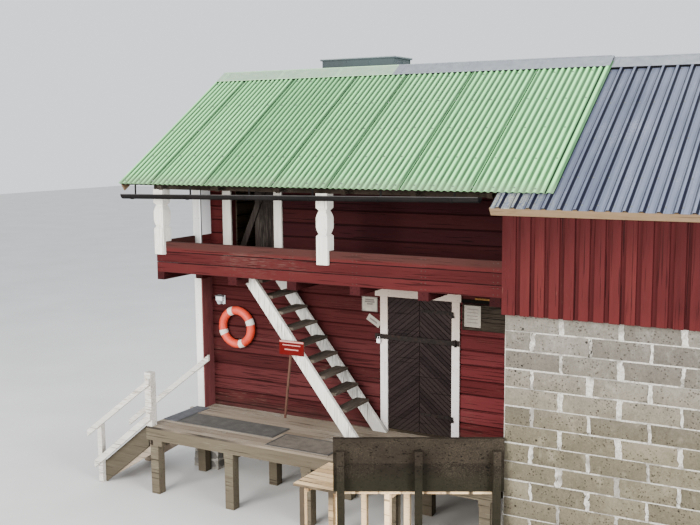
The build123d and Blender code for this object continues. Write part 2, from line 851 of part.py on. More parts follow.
# Strap hinges: a cranked plan outline, tapered toward the tip, with an eye round the pin
strap_back = -leaf_recess
strap_front = strap_back - strap_metal
eye_front = pin_y - strap_metal / 2
crank_end = pin_x - strap_crank
crank_start = crank_end - (strap_front - eye_front)
plan = [(pin_x - strap_length, strap_back), (pin_x - strap_length, strap_front), (crank_start, strap_front),
        (crank_end, eye_front),
        (pin_x, eye_front), (pin_x, eye_front + strap_metal),
        (crank_end - strap_metal / 2, eye_front + strap_metal),
        (crank_start - strap_metal / 2, strap_back)]
straps = []
for level in (strap_low, strap_high):
    strap = section_xy(plan, level - strap_height / 2, level + strap_height / 2)
    taper = section_xz([(pin_x - strap_length, level - strap_tip / 2),
                        (pin_x - strap_length + strap_tip, level - strap_tip),
                        (crank_start, level - strap_height / 2), (pin_x, level - strap_height / 2),
                        (pin_x, level + strap_height / 2),
                        (crank_start, level + strap_height / 2),
                        (pin_x - strap_length + strap_tip, level + strap_tip),
                        (pin_x - strap_length, level + strap_tip / 2)], pin_y - strap_height, strap_height)
    strap = strap & taper
    strap += Pos(pin_x, pin_y, level) * Cylinder(eye_radius, strap_height)
    strap -= Pos(pin_x, pin_y, level) * Cylinder(pin_radius + running_clearance, strap_height)
    straps.append(strap)
save("door_straps", *straps)

# Irons on the frame: a pin in each strap's eye, and a pin between two lugs for the bar
irons = []
upright = (Align.CENTER, Align.CENTER, Align.MIN)
for level in (strap_low, strap_high):
    seat = level - strap_height / 2 - iron_gap
    iron = block(pin_x - pin_radius, pin_x + 3 * pin_radius, pin_y, -frame_thickness, seat - iron_height,
                 seat)
    iron += Pos(pin_x, pin_y, seat - iron_height / 2) * Cylinder(pin_radius, iron_height)
    iron += Pos(pin_x, pin_y, seat) * Cylinder(pin_radius, strap_height + 3 * iron_gap, align=upright)
    irons.append(iron)
lug_foot = bar_level - bar_eye_height / 2 - iron_gap
lug_head = bar_level + bar_eye_height / 2 + iron_gap
clamp_height = lug_head - lug_foot + 2 * iron_height
clamp = Pos(bar_pin_x, bar_pin_y, lug_foot - iron_height) * Cylinder(pin_radius, clamp_height, align=upright)
for z0 in (lug_foot - iron_height, lug_head):
    clamp += Pos(bar_pin_x, bar_pin_y, z0) * Cylinder(eye_radius, iron_height, align=upright)
    clamp += block(bar_pin_x - eye_radius, bar_pin_x + eye_radius, bar_pin_y, -frame_thickness, z0,
                   z0 + iron_height)
irons.append(clamp)
save("hinge_irons", *irons)

# Locking bar: a flat iron with an eye at the right and a lug for the padlock at the left
bar = section_xz([(bar_left, bar_level - bar_height / 2), (bar_pin_x - bar_neck, bar_level - bar_height / 2),
                  (bar_pin_x - bar_neck / 2, bar_level - bar_eye_height / 2),
                  (bar_pin_x, bar_level - bar_eye_height / 2),
                  (bar_pin_x, bar_level + bar_eye_height / 2),
                  (bar_pin_x - bar_neck / 2, bar_level + bar_eye_height / 2),
                  (bar_pin_x - bar_neck, bar_level + bar_height / 2),
                  (bar_left, bar_level + bar_height / 2)], bar_front, bar_back)
bar += Pos(bar_pin_x, bar_pin_y, bar_level) * Cylinder(eye_radius, bar_eye_height)
bar -= Pos(bar_pin_x, bar_pin_y, bar_level) * Cylinder(pin_radius + running_clearance, bar_eye_height)
lug_y = bar_front - lug_reach / 2
lug = block(lug_x - lug_width / 2, lug_x + lug_width / 2, bar_front - lug_reach, bar_front,
            bar_level - lug_reach / 2, bar_level + lug_reach / 2)
lug_hole = Pos(lug_x, lug_y, bar_level) * Rot(0, 90, 0) * Cylinder(shackle_rod + lug_hole_clearance,
                                                                   3 * lug_width)
save("locking_bar", bar + (lug - lug_hole))

# Padlock: a body below the lug and a shackle through it
shackle_foot = bar_level - lock_drop
arch_level = bar_level - shackle_radius
legs = [Line((lug_x - shackle_radius, lug_y, shackle_foot), (lug_x - shackle_radius, lug_y, arch_level)),
        ThreePointArc((lug_x - shackle_radius, lug_y, arch_level), (lug_x, lug_y, bar_level),
                      (lug_x + shackle_radius, lug_y, arch_level)),
        Line((lug_x + shackle_radius, lug_y, arch_level), (lug_x + shackle_radius, lug_y, shackle_foot))]
shackle = sweep(Pos(lug_x - shackle_radius, lug_y, shackle_foot) * Circle(shackle_rod), path=Wire(legs))
lock_body = block(lug_x - lock_width / 2, lug_x + lock_width / 2, lug_y - lock_depth / 2,
                  lug_y + lock_depth / 2, shackle_foot - lock_height, shackle_foot)
lock_body = fillet(lock_body.edges().filter_by(Axis.Y), lock_round)
save("padlock", lock_body + shackle)

# Notice plank, lamp and lifebuoy on the wall
save("notice_plank", block(notice_left, notice_right, -notice_thickness, 0, notice_foot,
                           notice_foot + notice_height))
lamp = block(lamp_left, lamp_left + lamp_width, -lamp_depth, 0, lamp_foot, lamp_foot + lamp_height)
lamp = chamfer(lamp.faces().sort_by(Axis.Y)[0].edges(), lamp_chamfer)
save("wall_lamp", lamp)
buoy = Pos(buoy_x, -buoy_tube - seat_gap, buoy_z) * Rot(90, 0, 0) * Torus(buoy_radius, buoy_tube)
save("lifebuoy", buoy)

# Ladder stair
stringer_top = upper_level
stringer_width = ladder_stringer / math.sin(math.radians(ladder_slope))
stringer = [(ladder_foot_x, floor_level), (ladder_foot_x + stringer_width, floor_level),
            (ladder_foot_x + stringer_width - climb, stringer_top), (ladder_foot_x - climb, stringer_top)]
stringers = []
for y0 in (ladder_front, -ladder_back - ladder_stock):
    piece = section_xz(stringer, y0, y0 + ladder_stock)
    stringers.append(piece - block(0, hatch_left + seat_gap, ladder_front - wall_gap, 0,
                                   beam_underside - wall_gap, stringer_top + wall_gap))
save("ladder_stringers", *stringers)
treads = []
for i in range(ladder_treads):
    z = floor_level + ladder_first + i * ladder_rise
    nose = ladder_foot_x + stringer_width - (z - floor_level) / ladder_tangent + tread_nosing
    treads.append(block(nose - tread_depth, nose, ladder_front + ladder_stock, -ladder_back - ladder_stock,
                        z - tread_thickness, z))
save("ladder_treads", *treads)

# Sign board on a stick, fixed to the front stringer of the ladder stair
stick = section_xz([(stick_foot_x - stick_size / 2, stick_foot_z),
                    (stick_foot_x + stick_size / 2, stick_foot_z),
                    (stick_top_x + stick_size / 2, stick_top_z),
                    (stick_top_x - stick_size / 2, stick_top_z)],
                   ladder_front - stick_size, ladder_front)
sign_back = ladder_front - stick_size - seat_gap
sign = block(sign_left, sign_right, sign_back - sign_board, sign_back, sign_foot, sign_top)
save("sign_on_stick", stick, sign)

# Deck boards along the facade, notched round the log ends
boards = []
for i in range(deck_boards):
    y = -deck_front + i * (deck_board_width + deck_board_gap)
    board = block(deck_left, deck_right, y, y + deck_board_width, joist_top, floor_level)
    board -= block(deck_left, casing_board + wall_gap, log_end_front, 0, joist_top, floor_level)
    board -= block(gable_inner - wall_gap, deck_right, log_end_front, 0, joist_top, floor_level)
    boards.append(board)
save("deck_boards", *boards)

# Deck frame: rim, joists, bearers under the joists
bearer_step = (bearer_last - bearer_first) / (bearer_count - 1)
bearer_lines = [bearer_first + i * bearer_step for i in range(bearer_count)]
frame = [block(deck_left, deck_right, -deck_front + seat_gap, -deck_front + joist_width, bearer_top,
               joist_top)]
for x in bearer_lines:
    frame.append(block(x - joist_width / 2, x + joist_width / 2, -deck_front + joist_width + seat_gap,
                       -joist_rear, bearer_top, joist_top))
    frame.append(block(x - bearer_width / 2, x + bearer_width / 2, -deck_front + 2 * seat_gap, -joist_rear,
                       bearer_foot, bearer_top - seat_gap))
for x in bearer_lines:
    shift = -deck_post_shift if x == bearer_lines[0] else 0
    for line in (front_post_line, rear_post_line):
        frame.append(block(x + shift - deck_post / 2, x + shift + deck_post / 2, -line - deck_post / 2,
                           -line + deck_post / 2, 0, bearer_foot - seat_gap))
save("deck_frame", *frame)

# Rubber mats and a door mat on the deck
mats = [
    section_xy([(deck_left + mat_inset, -stair_mat_front), (stair_mat_right, -long_mat_front),
                (stair_mat_right, -stair_mat_back),
                (deck_left + 2 * mat_inset, -stair_mat_back)], floor_level, mat_top),
    block(long_mat_left, long_mat_right, -long_mat_front, -long_mat_back, floor_level, mat_top),
    block(door_mat_left, door_mat_right, -door_mat_front, -door_mat_back, floor_level, mat_top),
]
save("door_mats", *mats)

# Left stair: saw-tooth stringers, treads, posts, handrails and toe board
stair_front = -deck_front + rail_post + wall_gap
stair_back = -stair_rear
steps = stair_treads + 1
saw = [(deck_left - seat_gap, floor_level), (deck_left - seat_gap - stair_stock, floor_level),
       (deck_left - seat_gap - stair_stock, floor_level - stair_rise - stair_tread_thickness)]
for i in range(1, steps):
    x = deck_left - seat_gap - i * stair_run
    z = floor_level - i * stair_rise - stair_tread_thickness
    saw += [(x, z), (x, z - stair_rise if i < stair_treads else 0)]
saw += [(x + saw_heel, 0), (deck_left - seat_gap, floor_level - stair_rise - stair_tread_thickness
                            - stair_stringer)]
stringers = []
for y0 in (stair_front, stair_back - stair_stock):
    stringers.append(section_xz(saw, y0, y0 + stair_stock))
save("stair_stringers", *stringers)
treads = []
for i in range(1, steps):
    x = deck_left - seat_gap - i * stair_run
    z = floor_level - i * stair_rise
    treads.append(block(x - stair_tread_overlap, x + stair_run - (stair_stock if i == 1 else 0) - seat_gap,
                        stair_front, stair_back, z - stair_tread_thickness, z))
save("stair_treads", *treads)
newel_left = deck_left
lower_top = rail_top_at_deck + rail_slope * (rail_post_x - newel_left) - rail_height / 4
stair_posts = [
    block(newel_left, newel_left + newel, -deck_front, -deck_front + newel, floor_level,
          floor_level + newel_height),
    block(rail_post_x - rail_post / 2, rail_post_x + rail_post / 2, -deck_front, -deck_front + rail_post, 0,
          lower_top),
    block(rail_post_x - rail_post / 2, rail_post_x + rail_post / 2, casing_face, casing_face + rail_post, 0,
          lower_top),
]


def sloping_board(x0, x1, top_at_deck, height, y0, y1, steepness):
    """A board that follows the stair, given by its upper edge over the deck's end."""
    z0 = top_at_deck + steepness * (x0 - newel_left)
    z1 = top_at_deck + steepness * (x1 - newel_left)
    return section_xz([(x0, z0 - height), (x1, z1 - height), (x1, z1), (x0, z0)], y0, y1)


stair_slope = stair_rise / stair_run
rails = [
    sloping_board(rail_left, rail_right, rail_top_at_deck, rail_height, -deck_front - rail_stock,
                  -deck_front - seat_gap, rail_slope),
    sloping_board(toe_board_left, newel_left + newel, floor_level + toe_board + toe_board_lift, toe_board,
                  -deck_front - rail_stock, -deck_front - seat_gap, stair_slope),
    sloping_board(rear_rail_left, rear_rail_right, rail_top_at_deck, rail_height, casing_face - rail_stock,
                  casing_face - seat_gap, rail_slope),
]
save("stair_railing", *stair_posts, *rails)

# Slatted landing, cut along the retaining plank
plank_angle = math.atan2(plank_right_y - plank_left_y, plank_right_x - plank_left_x)
plank_slope = math.tan(plank_angle)
slats = []
for i in range(slat_count):
    y = -landing_front + i * slat_pitch
    near = plank_left_x + (y - plank_left_y) / plank_slope - plank_stock - slat_end_gap
    far = plank_left_x + (y + slat_width - plank_left_y) / plank_slope - plank_stock - slat_end_gap
    slats.append(section_xy([(landing_left, y), (near, y), (far, y + slat_width),
                             (landing_left, y + slat_width)], landing_top - slat_thickness, landing_top))
trestles = []
trestle_top = landing_top - slat_thickness - seat_gap
for offset in (trestle_first, trestle_second, trestle_third):
    x = landing_left + offset
    near = max(-landing_front, plank_left_y + (x + trestle_width - plank_left_x + plank_stock
                                               + slat_end_gap) * plank_slope)
    far = -deck_front - seat_gap
    trestle_foot = trestle_top - trestle_height
    trestles.append(block(x, x + trestle_width, near, far, trestle_foot, trestle_top))
    for y in (near, far - trestle_width):
        trestles.append(block(x, x + trestle_width, y, y + trestle_width, 0, trestle_foot - seat_gap))
save("landing", *slats, *trestles)

# Retaining plank on edge, with stakes behind it
plank_length = math.hypot(plank_right_x - plank_left_x, plank_right_y - plank_left_y)
turn = Pos(plank_left_x, plank_left_y, 0) * Rot(0, 0, math.degrees(plank_angle))
plank = turn * block(0, plank_length, 0, plank_stock, plank_top - plank_depth, plank_top)
stakes = []
for i in range(stake_count):
    along = stake_inset + i * (plank_length - stake_size - 2 * stake_inset) / (stake_count - 1)
    stakes.append(turn * block(along, along + stake_size, -stake_size - seat_gap, -seat_gap, 0,
                               plank_top - stake_drop))
save("retaining_plank", plank, *stakes)
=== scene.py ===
import random
from math import atan, cos, pi, radians, sin, tan

import bpy
import bmesh
from bmesh import ops
from mathutils import Matrix, Vector


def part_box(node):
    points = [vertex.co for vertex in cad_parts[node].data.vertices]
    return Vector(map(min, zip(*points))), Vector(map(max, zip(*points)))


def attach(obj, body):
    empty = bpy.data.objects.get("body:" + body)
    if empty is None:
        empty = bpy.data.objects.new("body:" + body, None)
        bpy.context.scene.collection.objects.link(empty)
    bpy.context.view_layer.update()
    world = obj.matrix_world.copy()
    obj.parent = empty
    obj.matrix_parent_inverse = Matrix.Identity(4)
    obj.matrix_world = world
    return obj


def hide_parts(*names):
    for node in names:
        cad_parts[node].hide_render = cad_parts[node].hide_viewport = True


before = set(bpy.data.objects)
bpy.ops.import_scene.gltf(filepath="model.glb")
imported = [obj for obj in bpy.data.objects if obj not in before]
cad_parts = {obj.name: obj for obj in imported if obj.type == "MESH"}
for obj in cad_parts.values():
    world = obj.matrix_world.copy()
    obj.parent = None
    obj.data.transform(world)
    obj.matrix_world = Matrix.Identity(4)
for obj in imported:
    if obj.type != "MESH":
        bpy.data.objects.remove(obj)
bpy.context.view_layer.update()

# Places taken over from the frame, in metres
X, Y, Z = 0, 1, 2
ridge_y, apex, pitch = 1.155, 5.543, radians(32.6)
green_left, green_right, green_slope = -0.43, 5.27, 2.786
wave_pitch, wave_depth = 0.076, 0.018
dark_left, dark_right, rib_pitch, dark_crest = 4.716, 8.322, 0.16, 0.0215
cap_seam = 2.44
wall_foot, log_course, floor_level = 0.768, 0.182, 0.9
block_left, block_right, block_front, block_rear, block_top = 4.85, 8.05, -1.24, 2.92, 2.8
clad_left, clad_right, clad_front, clad_rear, clad_foot = 4.826, 8.074, -1.286, 2.966, 2.776
leaf_left, leaf_right, leaf_foot, leaf_head, leaf_face = 2.862, 3.722, 0.934, 2.622, -0.014
deck_front, deck_step = -1.284, 0.1282
casing_side = 0.109
chance = random.Random(41)
between = chance.uniform
moved, turned = Matrix.Translation, Matrix.Rotation

# Coordinates of the front and rear slope of the roof: x along the ridge, y down the slope, z out of the sheet
slopes = [Matrix(((1, 0, 0, 0), (0, side * cos(pitch), side * sin(pitch), ridge_y),
                  (0, -sin(pitch), cos(pitch), apex), (0, 0, 0, 1))) for side in (-1, 1)]


def facing(side, face):
    """Coordinates of a wall: x along it, y into it, z up; face is where its outer face lies."""
    rows = {"front": ((1, 0, 0, 0), (0, 1, 0, face)), "right": ((0, -1, 0, face), (1, 0, 0, 0)),
            "rear": ((-1, 0, 0, 0), (0, -1, 0, face)), "left": ((0, 1, 0, face), (-1, 0, 0, 0))}
    return Matrix((*rows[side], (0, 0, 1, 0), (0, 0, 0, 1)))


# Finishes

def rgba(colour):
    """The colours in this file are in thousandths of full red, green and blue."""
    return (*(c / 1000 for c in colour), 1.0)


class Finish:
    """One procedural finish, laid over a piece by the piece's own coordinates."""

    def __init__(self, name, roughness=0.8, metallic=0.0, specular=0.2):
        self.material = bpy.data.materials.new(name)
        self.material.use_nodes = True
        self.tree = self.material.node_tree
        self.shader = self.tree.nodes["Principled BSDF"]
        for key, value in (("Roughness", roughness), ("Metallic", metallic), ("Specular IOR Level", specular)):
            self.shader.inputs[key].default_value = value
        self.place = self.tree.nodes.new("ShaderNodeTexCoord").outputs["Object"]
        self.along = list(self.node("SeparateXYZ", {0: self.place}).outputs)
        self.slope = None

    def node(self, kind, inputs, **settings):
        made = self.tree.nodes.new("ShaderNode" + kind)
        for key, value in settings.items():
            setattr(made, key, value)
        for key, value in inputs.items():
            socket = made.inputs[key]
            if isinstance(value, bpy.types.NodeSocket):
                self.tree.links.new(value, socket)
            else:
                socket.default_value = rgba(value) if socket.type == "RGBA" else value
        return made

    def sum(self, a, b, how="ADD"):
        return self.node("Math", {0: a, 1: b}, operation=how).outputs[0]

    def times(self, a, b):
        return self.sum(a, b, "MULTIPLY")

    def less(self, a, b):
        return self.sum(a, b, "SUBTRACT")

    def rest(self, value):
        return self.less(1.0, value)

    def blend(self, first, *others):
        """The sum of some values, each times its own share."""
        total = self.times(*first)
        for part in others:
            total = self.sum(total, self.times(*part))
        return total

    def ease(self, value, low, high):
        """0 below low, 1 above high, smooth between."""
        return self.node("MapRange", {"Value": value, "From Min": low, "From Max": high},
                         interpolation_type="SMOOTHSTEP").outputs[0]

    def past(self, axis, low, high):
        """0 before low along an axis, 1 past high, smooth between."""
        return self.ease(self.along[axis], low, high)

    def within(self, value, low, high):
        """1 between low and high, 0 outside."""
        return self.times(self.ease(value, low - 0.003, low + 0.003),
                          self.rest(self.ease(value, high - 0.003, high + 0.003)))

    def spaced(self, size, stretch, shift=0.0):
        """The piece's coordinates in units of size metres, drawn out along the axes by stretch."""
        return self.node("Mapping", {"Vector": self.place, "Location": (shift, shift * 1.7, shift * 2.3),
                                               "Scale": [1.0 / (size * s) for s in stretch]}).outputs[0]

    def cloud(self, size, detail=4.0, rough=0.55, shift=0.0, stretch=(1, 1, 1)):
        """Noise whose blotches are about size metres, drawn out along the axes by stretch."""
        return self.node("TexNoise", {"Vector": self.spaced(size, stretch, shift), "Scale": 1.0,
                                                "Detail": detail, "Roughness": rough}).outputs["Fac"]

    def pits(self, size):
        """Distance to scattered points that are about size metres apart."""
        return self.node("TexVoronoi", {"Vector": self.spaced(size, (1, 1, 1)),
                                                  "Scale": 1.0}).outputs["Distance"]

    def turn(self, axis, start, step):
        """How many boards or courses lie between start and a point."""
        return self.sum(self.less(self.along[axis], start), step, "DIVIDE")

    def course(self, axis, start, step, salt=0.0):
        """A chance value for each board or course along an axis."""
        index = self.sum(self.turn(axis, start, step), 0.0, "FLOOR")
        return self.node("TexWhiteNoise", {"W": self.sum(index, salt)},
                         noise_dimensions="1D").outputs["Value"]

    def from_seam(self, axis, start, step):
        """Distance in metres past the nearest seam, less than 0 before it."""
        part = self.sum(self.sum(self.turn(axis, start, step), 0.5), 0.0, "FRACT")
        return self.times(self.less(part, 0.5), step)

    def seam(self, axis, start, step, width):
        """1 on the seams, 0 away from them."""
        gap = self.sum(self.from_seam(axis, start, step), 0.0, "ABSOLUTE")
        return self.rest(self.ease(gap, width * 0.35, width))

    def own(self):
        """The chance value that each board of a piece carries."""
        return self.node("Attribute", {}, attribute_name="tone").outputs["Fac"]

    def shades(self, value, places, colours):
        """Colours at their places along a value, blended between them."""
        ramp = self.node("ValToRGB", {"Fac": value})
        band = ramp.color_ramp
        while len(band.elements) < len(colours):
            band.elements.new(0.5)
        for element, place, colour in zip(band.elements, places, colours):
            element.position = place
            element.color = rgba(colour)
        return ramp.outputs["Color"]

    def over(self, mask, below, above, most=1.0, how="MIX"):
        """The colour above laid over the one below by the mask, at most by most."""
        share = mask if most == 1.0 else self.times(mask, most)
        return self.node("Mix", {0: share, 6: below, 7: above}, data_type="RGBA",
                         blend_type=how).outputs[2]

    def relief(self, height, depth):
        """Bump of depth metres."""
        inputs = {"Height": height, "Distance": depth}
        if self.slope is not None:
            inputs["Normal"] = self.slope
        self.slope = self.node("Bump", inputs).outputs[0]
        return self

    def done(self, colour, roughness=None):
        for key, value in (("Base Color", colour), ("Roughness", roughness), ("Normal", self.slope)):
            if value is not None:
                self.tree.links.new(value, self.shader.inputs[key])
        return self.material


def grained(axis, run):
    """Stretch that draws a pattern out along one axis."""
    return tuple(run if i == axis else 1 for i in range(3))


def timber(name, colours, bare, axis, boards=None, wear=0.64, roughness=0.75, seam=None, foot=None, raw=None,
           ends=None, spread=0.34, grain=14, checks=0.62, head=None, bright=None):
    """Boards or logs: streaks along the grain, one tone a board, worn spots and drying cracks.

    seam gives width and shade, foot and head give height, reach and the colour laid over the bottom or the top:
    dirt on some pieces, painted shade under the gallery and eaves on others; ends the low end, the high end and
    the shade of the cut wood, raw masks unpainted wood, bright is a mask and the colours of a painted-lit stretch.
    """
    f = Finish(name, roughness, 0.0, 0.08)
    streaks = f.cloud(0.035, 5, 0.6, 0.0, grained(axis, grain))
    fine = f.cloud(0.006, 3, 0.6, 3.1, grained(axis, 24))
    large = f.cloud(0.55, 3, 0.5, 1.3, grained(axis, 2.2))
    tone = f.course(*boards) if boards else f.own()
    value = f.blend((tone, spread), (streaks, 0.42), (large, 0.34))
    places = (0.28, 0.56, 0.86)
    colour = f.shades(value, places, colours)
    if bright:
        colour = f.over(bright[0](f), colour, f.shades(value, places, bright[1]))
    rubbed = f.ease(f.blend((large, 0.5), (fine, 0.62)), wear, wear + 0.09)
    colour = f.over(rubbed, colour, bare)
    crack = f.ease(f.cloud(0.016, 2, 0.5, 5.3, grained(axis, 46)), checks, checks + 0.05)
    colour = f.over(crack, colour, tuple(c * 0.25 for c in colours[0]), 0.75)
    if seam:
        width, shade = seam
        dirt = f.sum(f.ease(large, 0.3, 0.62), 0.28)
        colour = f.over(f.times(f.seam(*boards, width), dirt), colour, shade)
    if foot:
        level, reach, shade = foot
        height = f.less(f.along[Z], f.times(f.cloud(0.12, 3), reach * 0.7))
        colour = f.over(f.rest(f.ease(height, level, level + reach)), colour, shade, 0.5)
    if head:
        level, reach, shade = head
        height = f.sum(f.along[Z], f.times(f.blend((streaks, 0.6), (large, 0.8)), reach))
        colour = f.over(f.ease(height, level + reach * 0.4, level + reach * 1.1), colour, shade, 0.75)
    if ends:
        low, high, shade = ends
        cut_end = f.sum(f.rest(f.past(axis, low + 0.001, low + 0.003)), f.past(axis, high - 0.003, high - 0.001))
        colour = f.over(cut_end, colour, shade, 0.8)
    if raw:
        wood = f.shades(f.blend((streaks, 0.7), (tone, 0.3)), (0.25, 0.5, 0.8),
                        ((120, 85, 55), (220, 165, 110), (330, 260, 180)))
        colour = f.over(raw(f), colour, wood)
    f.relief(streaks, 0.0016).relief(fine, 0.0007).relief(f.rest(crack), 0.0022)
    return f.done(colour, f.sum(f.times(fine, 0.3), roughness - 0.12))


def mottled(name, size, roughness, *colours, stain=None, metallic=0.0, specular=0.25, stretch=(1, 1, 1)):
    """A mottled finish for one stuff: sheet, stone, rubber, iron or plastic."""
    f = Finish(name, roughness, metallic, specular)
    blotches = f.cloud(size, 5, 0.6, 0.0, stretch)
    grain = f.cloud(0.004, 2, 0.5, 2.7, stretch)
    places = [0.3 + 0.4 * i / (len(colours) - 1) for i in range(len(colours))]
    colour = f.shades(f.blend((blotches, 0.7), (grain, 0.3)), places, colours)
    if stain:
        patch = f.ease(f.cloud(size * 3.1, 4, 0.65, 8.2, stretch), 0.52, 0.72)
        colour = f.over(patch, colour, stain, 0.7)
    f.relief(blotches, 0.0016).relief(grain, 0.0008)
    return f.done(colour, f.sum(f.times(blotches, 0.2), roughness - 0.1))


# Making pieces

def shape():
    bm = bmesh.new()
    bm.verts.layers.float.new("tone")
    return bm


def mark(bm, verts, tone=None):
    """Give the verts of one board its chance value."""
    layer = bm.verts.layers.float["tone"]
    tone = chance.random() if tone is None else tone
    for vert in verts:
        vert[layer] = tone


def ease_edges(bm, verts, edge, segments=1):
    edges = list({e for vert in verts for e in vert.link_edges})
    ops.bevel(bm, geom=edges, offset=edge, affect="EDGES", segments=segments, profile=0.5,
              clamp_overlap=True)


def slab(bm, low, high, edge=0.003, place=None, tone=None, segments=1):
    """A board between two corners, its edges eased, carried over by place."""
    low, high = Vector(low), Vector(high)
    fitted = moved((low + high) / 2) @ Matrix.Diagonal((*(high - low), 1.0))
    if place is not None:
        fitted = place @ fitted
    verts = ops.create_cube(bm, size=1.0, matrix=fitted)["verts"]
    mark(bm, verts, tone)
    if edge:
        ease_edges(bm, verts, edge, segments)


def join(bm, part):
    """Add a finished part to a piece."""
    mesh = bpy.data.meshes.new("part")
    part.to_mesh(mesh)
    part.free()
    bm.from_mesh(mesh)
    bpy.data.meshes.remove(mesh)


def cut_off(part, point, direction):
    """Saw off what lies beyond a plane and close the cut."""
    geom = [*part.verts, *part.edges, *part.faces]
    made = ops.bisect_plane(part, geom=geom, dist=1e-6, plane_co=point, plane_no=direction, clear_outer=True)
    rim = [g for g in made["geom_cut"] if isinstance(g, bmesh.types.BMEdge)]
    ops.holes_fill(part, edges=rim)


def sawn(bm, low, high, cuts, edge=0.003, place=None, tone=None):
    """A board that is sawn off by planes before its edges are eased."""
    part = shape()
    slab(part, low, high, 0.0, place, tone)
    for point, direction in cuts:
        cut_off(part, point, direction)
    if part.verts:
        ease_edges(part, list(part.verts), edge)
        join(bm, part)
    else:
        part.free()


def round_bar(bm, start, end, radius, sides=8, tip=None):
    """A round bar, nail or screw head from start to end."""
    start, end = Vector(start), Vector(end)
    aimed = (end - start).to_track_quat("Z", "Y").to_matrix().to_4x4()
    verts = ops.create_cone(bm, cap_ends=True, segments=sides, radius1=radius,
                                  radius2=radius if tip is None else tip, depth=(end - start).length,
                                  matrix=moved((start + end) / 2) @ aimed)["verts"]
    mark(bm, verts)


def studs(bm, spots, near, far, radius, sides=6, tip=None):
    """Round heads that stand out of the front, one at every x and z of the spots."""
    for x, z in spots:
        round_bar(bm, (x, near, z), (x, far, z), radius, sides, tip)


def lump(low, high, cuts):
    """A block with its faces cut up, to be pushed out of shape."""
    part = shape()
    slab(part, low, high, 0.0)
    ops.subdivide_edges(part, edges=part.edges, cuts=cuts, use_grid_fill=True)
    return part


def jitter(verts, reach):
    for vert in verts:
        vert.co += Vector([between(-r, r) for r in reach])


def put(name, data):
    """Put a new object into the scene."""
    made = bpy.data.objects.new(name, data)
    bpy.context.scene.collection.objects.link(made)
    return made


def put_mesh(name, bm, finish):
    mesh = bpy.data.meshes.new(name)
    bm.to_mesh(mesh)
    bm.free()
    mesh.materials.append(finish)
    return put(name, mesh)


def piece(name, bm, finish, angle=35, body="house"):
    ops.recalc_face_normals(bm, faces=bm.faces)
    made = put_mesh(name, bm, finish)
    made.data.shade_smooth()
    made.data.set_sharp_from_angle(angle=radians(angle))
    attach(made, body)
    return made


def board_piece(name, finish, corners, edge):
    """A piece of boards, each between two corners."""
    bm = shape()
    for low, high in corners:
        slab(bm, low, high, edge)
    piece(name, bm, finish)


def dress(finish, *nodes):
    """Lay a finish on nodes of the frame."""
    for node in nodes:
        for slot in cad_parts[node].material_slots:
            slot.material = finish


# Finishes of the timber

red = (36, 5, 5), (66, 10, 10), (89, 17, 17)
shaded_red = (10, 2, 2), (19, 3, 4), (28, 5, 5)
board_red = (33, 4, 4), (54, 8, 8), (73, 12, 11)
red_bare = (98, 54, 41)
white = (499, 465, 409), (691, 660, 596), (806, 772, 721)
white_bare = (400, 350, 280)
grey_wood = (160, 124, 90), (248, 200, 148), (360, 304, 234)
raw_wood = (170, 120, 75), (280, 210, 135), (380, 300, 200)
deep_seam, dull_seam = (14, 4, 4), (22, 6, 6)


def tinted(colours, r, g, b):
    return tuple((c[0] * r, c[1] * g, c[2] * b) for c in colours)


def left_of_loft(f):
    """Painted light: the stretch at the left end of the upper wall, painted brighter as if lit."""
    return f.rest(f.past(X, 0.47, 0.5))


def inside_front(f):
    """The unpainted inner face of the front wall."""
    return f.past(Y, 0.092, 0.098)


# Boards and courses: their axis, where the first one starts and their width
log_courses = Z, wall_foot, log_course
upright_boards, rail_boards = (X, -0.1, 0.31), (Y, -1.4, 0.3)
splash = 0.76, 0.26, (36, 20, 16)
# Front logs: head darkens them from about 1.6 m up as painted shade under the gallery.
for part, tint, wear, width, shade, nodes in (
        ("front", (0.84, 1.1, 1.12), 0.65, 0.008, (30, 4, 4), ("front_logs_left", "front_logs_over")),
        ("right", (1.38, 1.4, 1.5), 0.66, 0.007, (45, 7, 7.5), ("front_logs_right",))):
    dress(timber(f"red_paint_{part}_logs", tinted(red, *tint), red_bare, X, log_courses, wear, 0.72,
                 (width, dull_seam), splash, inside_front, None, 0.4, 20, 0.57, (1.84, 1.14, shade)), *nodes)
for part, axis, inside, ends in (
        ("rear", X, lambda f: f.rest(f.past(Y, 2.822, 2.828)), None),
        ("gable", Y, lambda f: f.times(f.within(f.along[X], 0.1, 4.72), f.within(f.along[Y], 0.02, 2.9)),
         (-0.2, 3.12, (22, 7, 6)))):
    dress(timber(f"red_paint_{part}_logs", red, red_bare, axis, log_courses, 0.66, 0.72, (0.01, deep_seam), splash,
                 inside, ends), f"{part}_logs")
# Upper logs under the gallery roof: a darker copy of the red paint as painted shade, with a stretch at the left end
# painted lighter as painted light.
dress(timber("red_paint_shaded_loft_logs", shaded_red, (32, 16, 12), X, log_courses, 0.72, 0.78, (0.006, deep_seam),
             None, inside_front, bright=(left_of_loft, tinted(red, 0.9, 0.9, 0.9))), "front_logs_loft")
dress(timber("red_paint_parapet", board_red, (80, 42, 34), X, (Z, 2.8875, 0.135), 0.68, 0.7, (0.009, deep_seam),
             spread=0.36, grain=18, checks=0.6, head=(3.2, 0.07, (34, 15, 12))), "gallery_parapet")
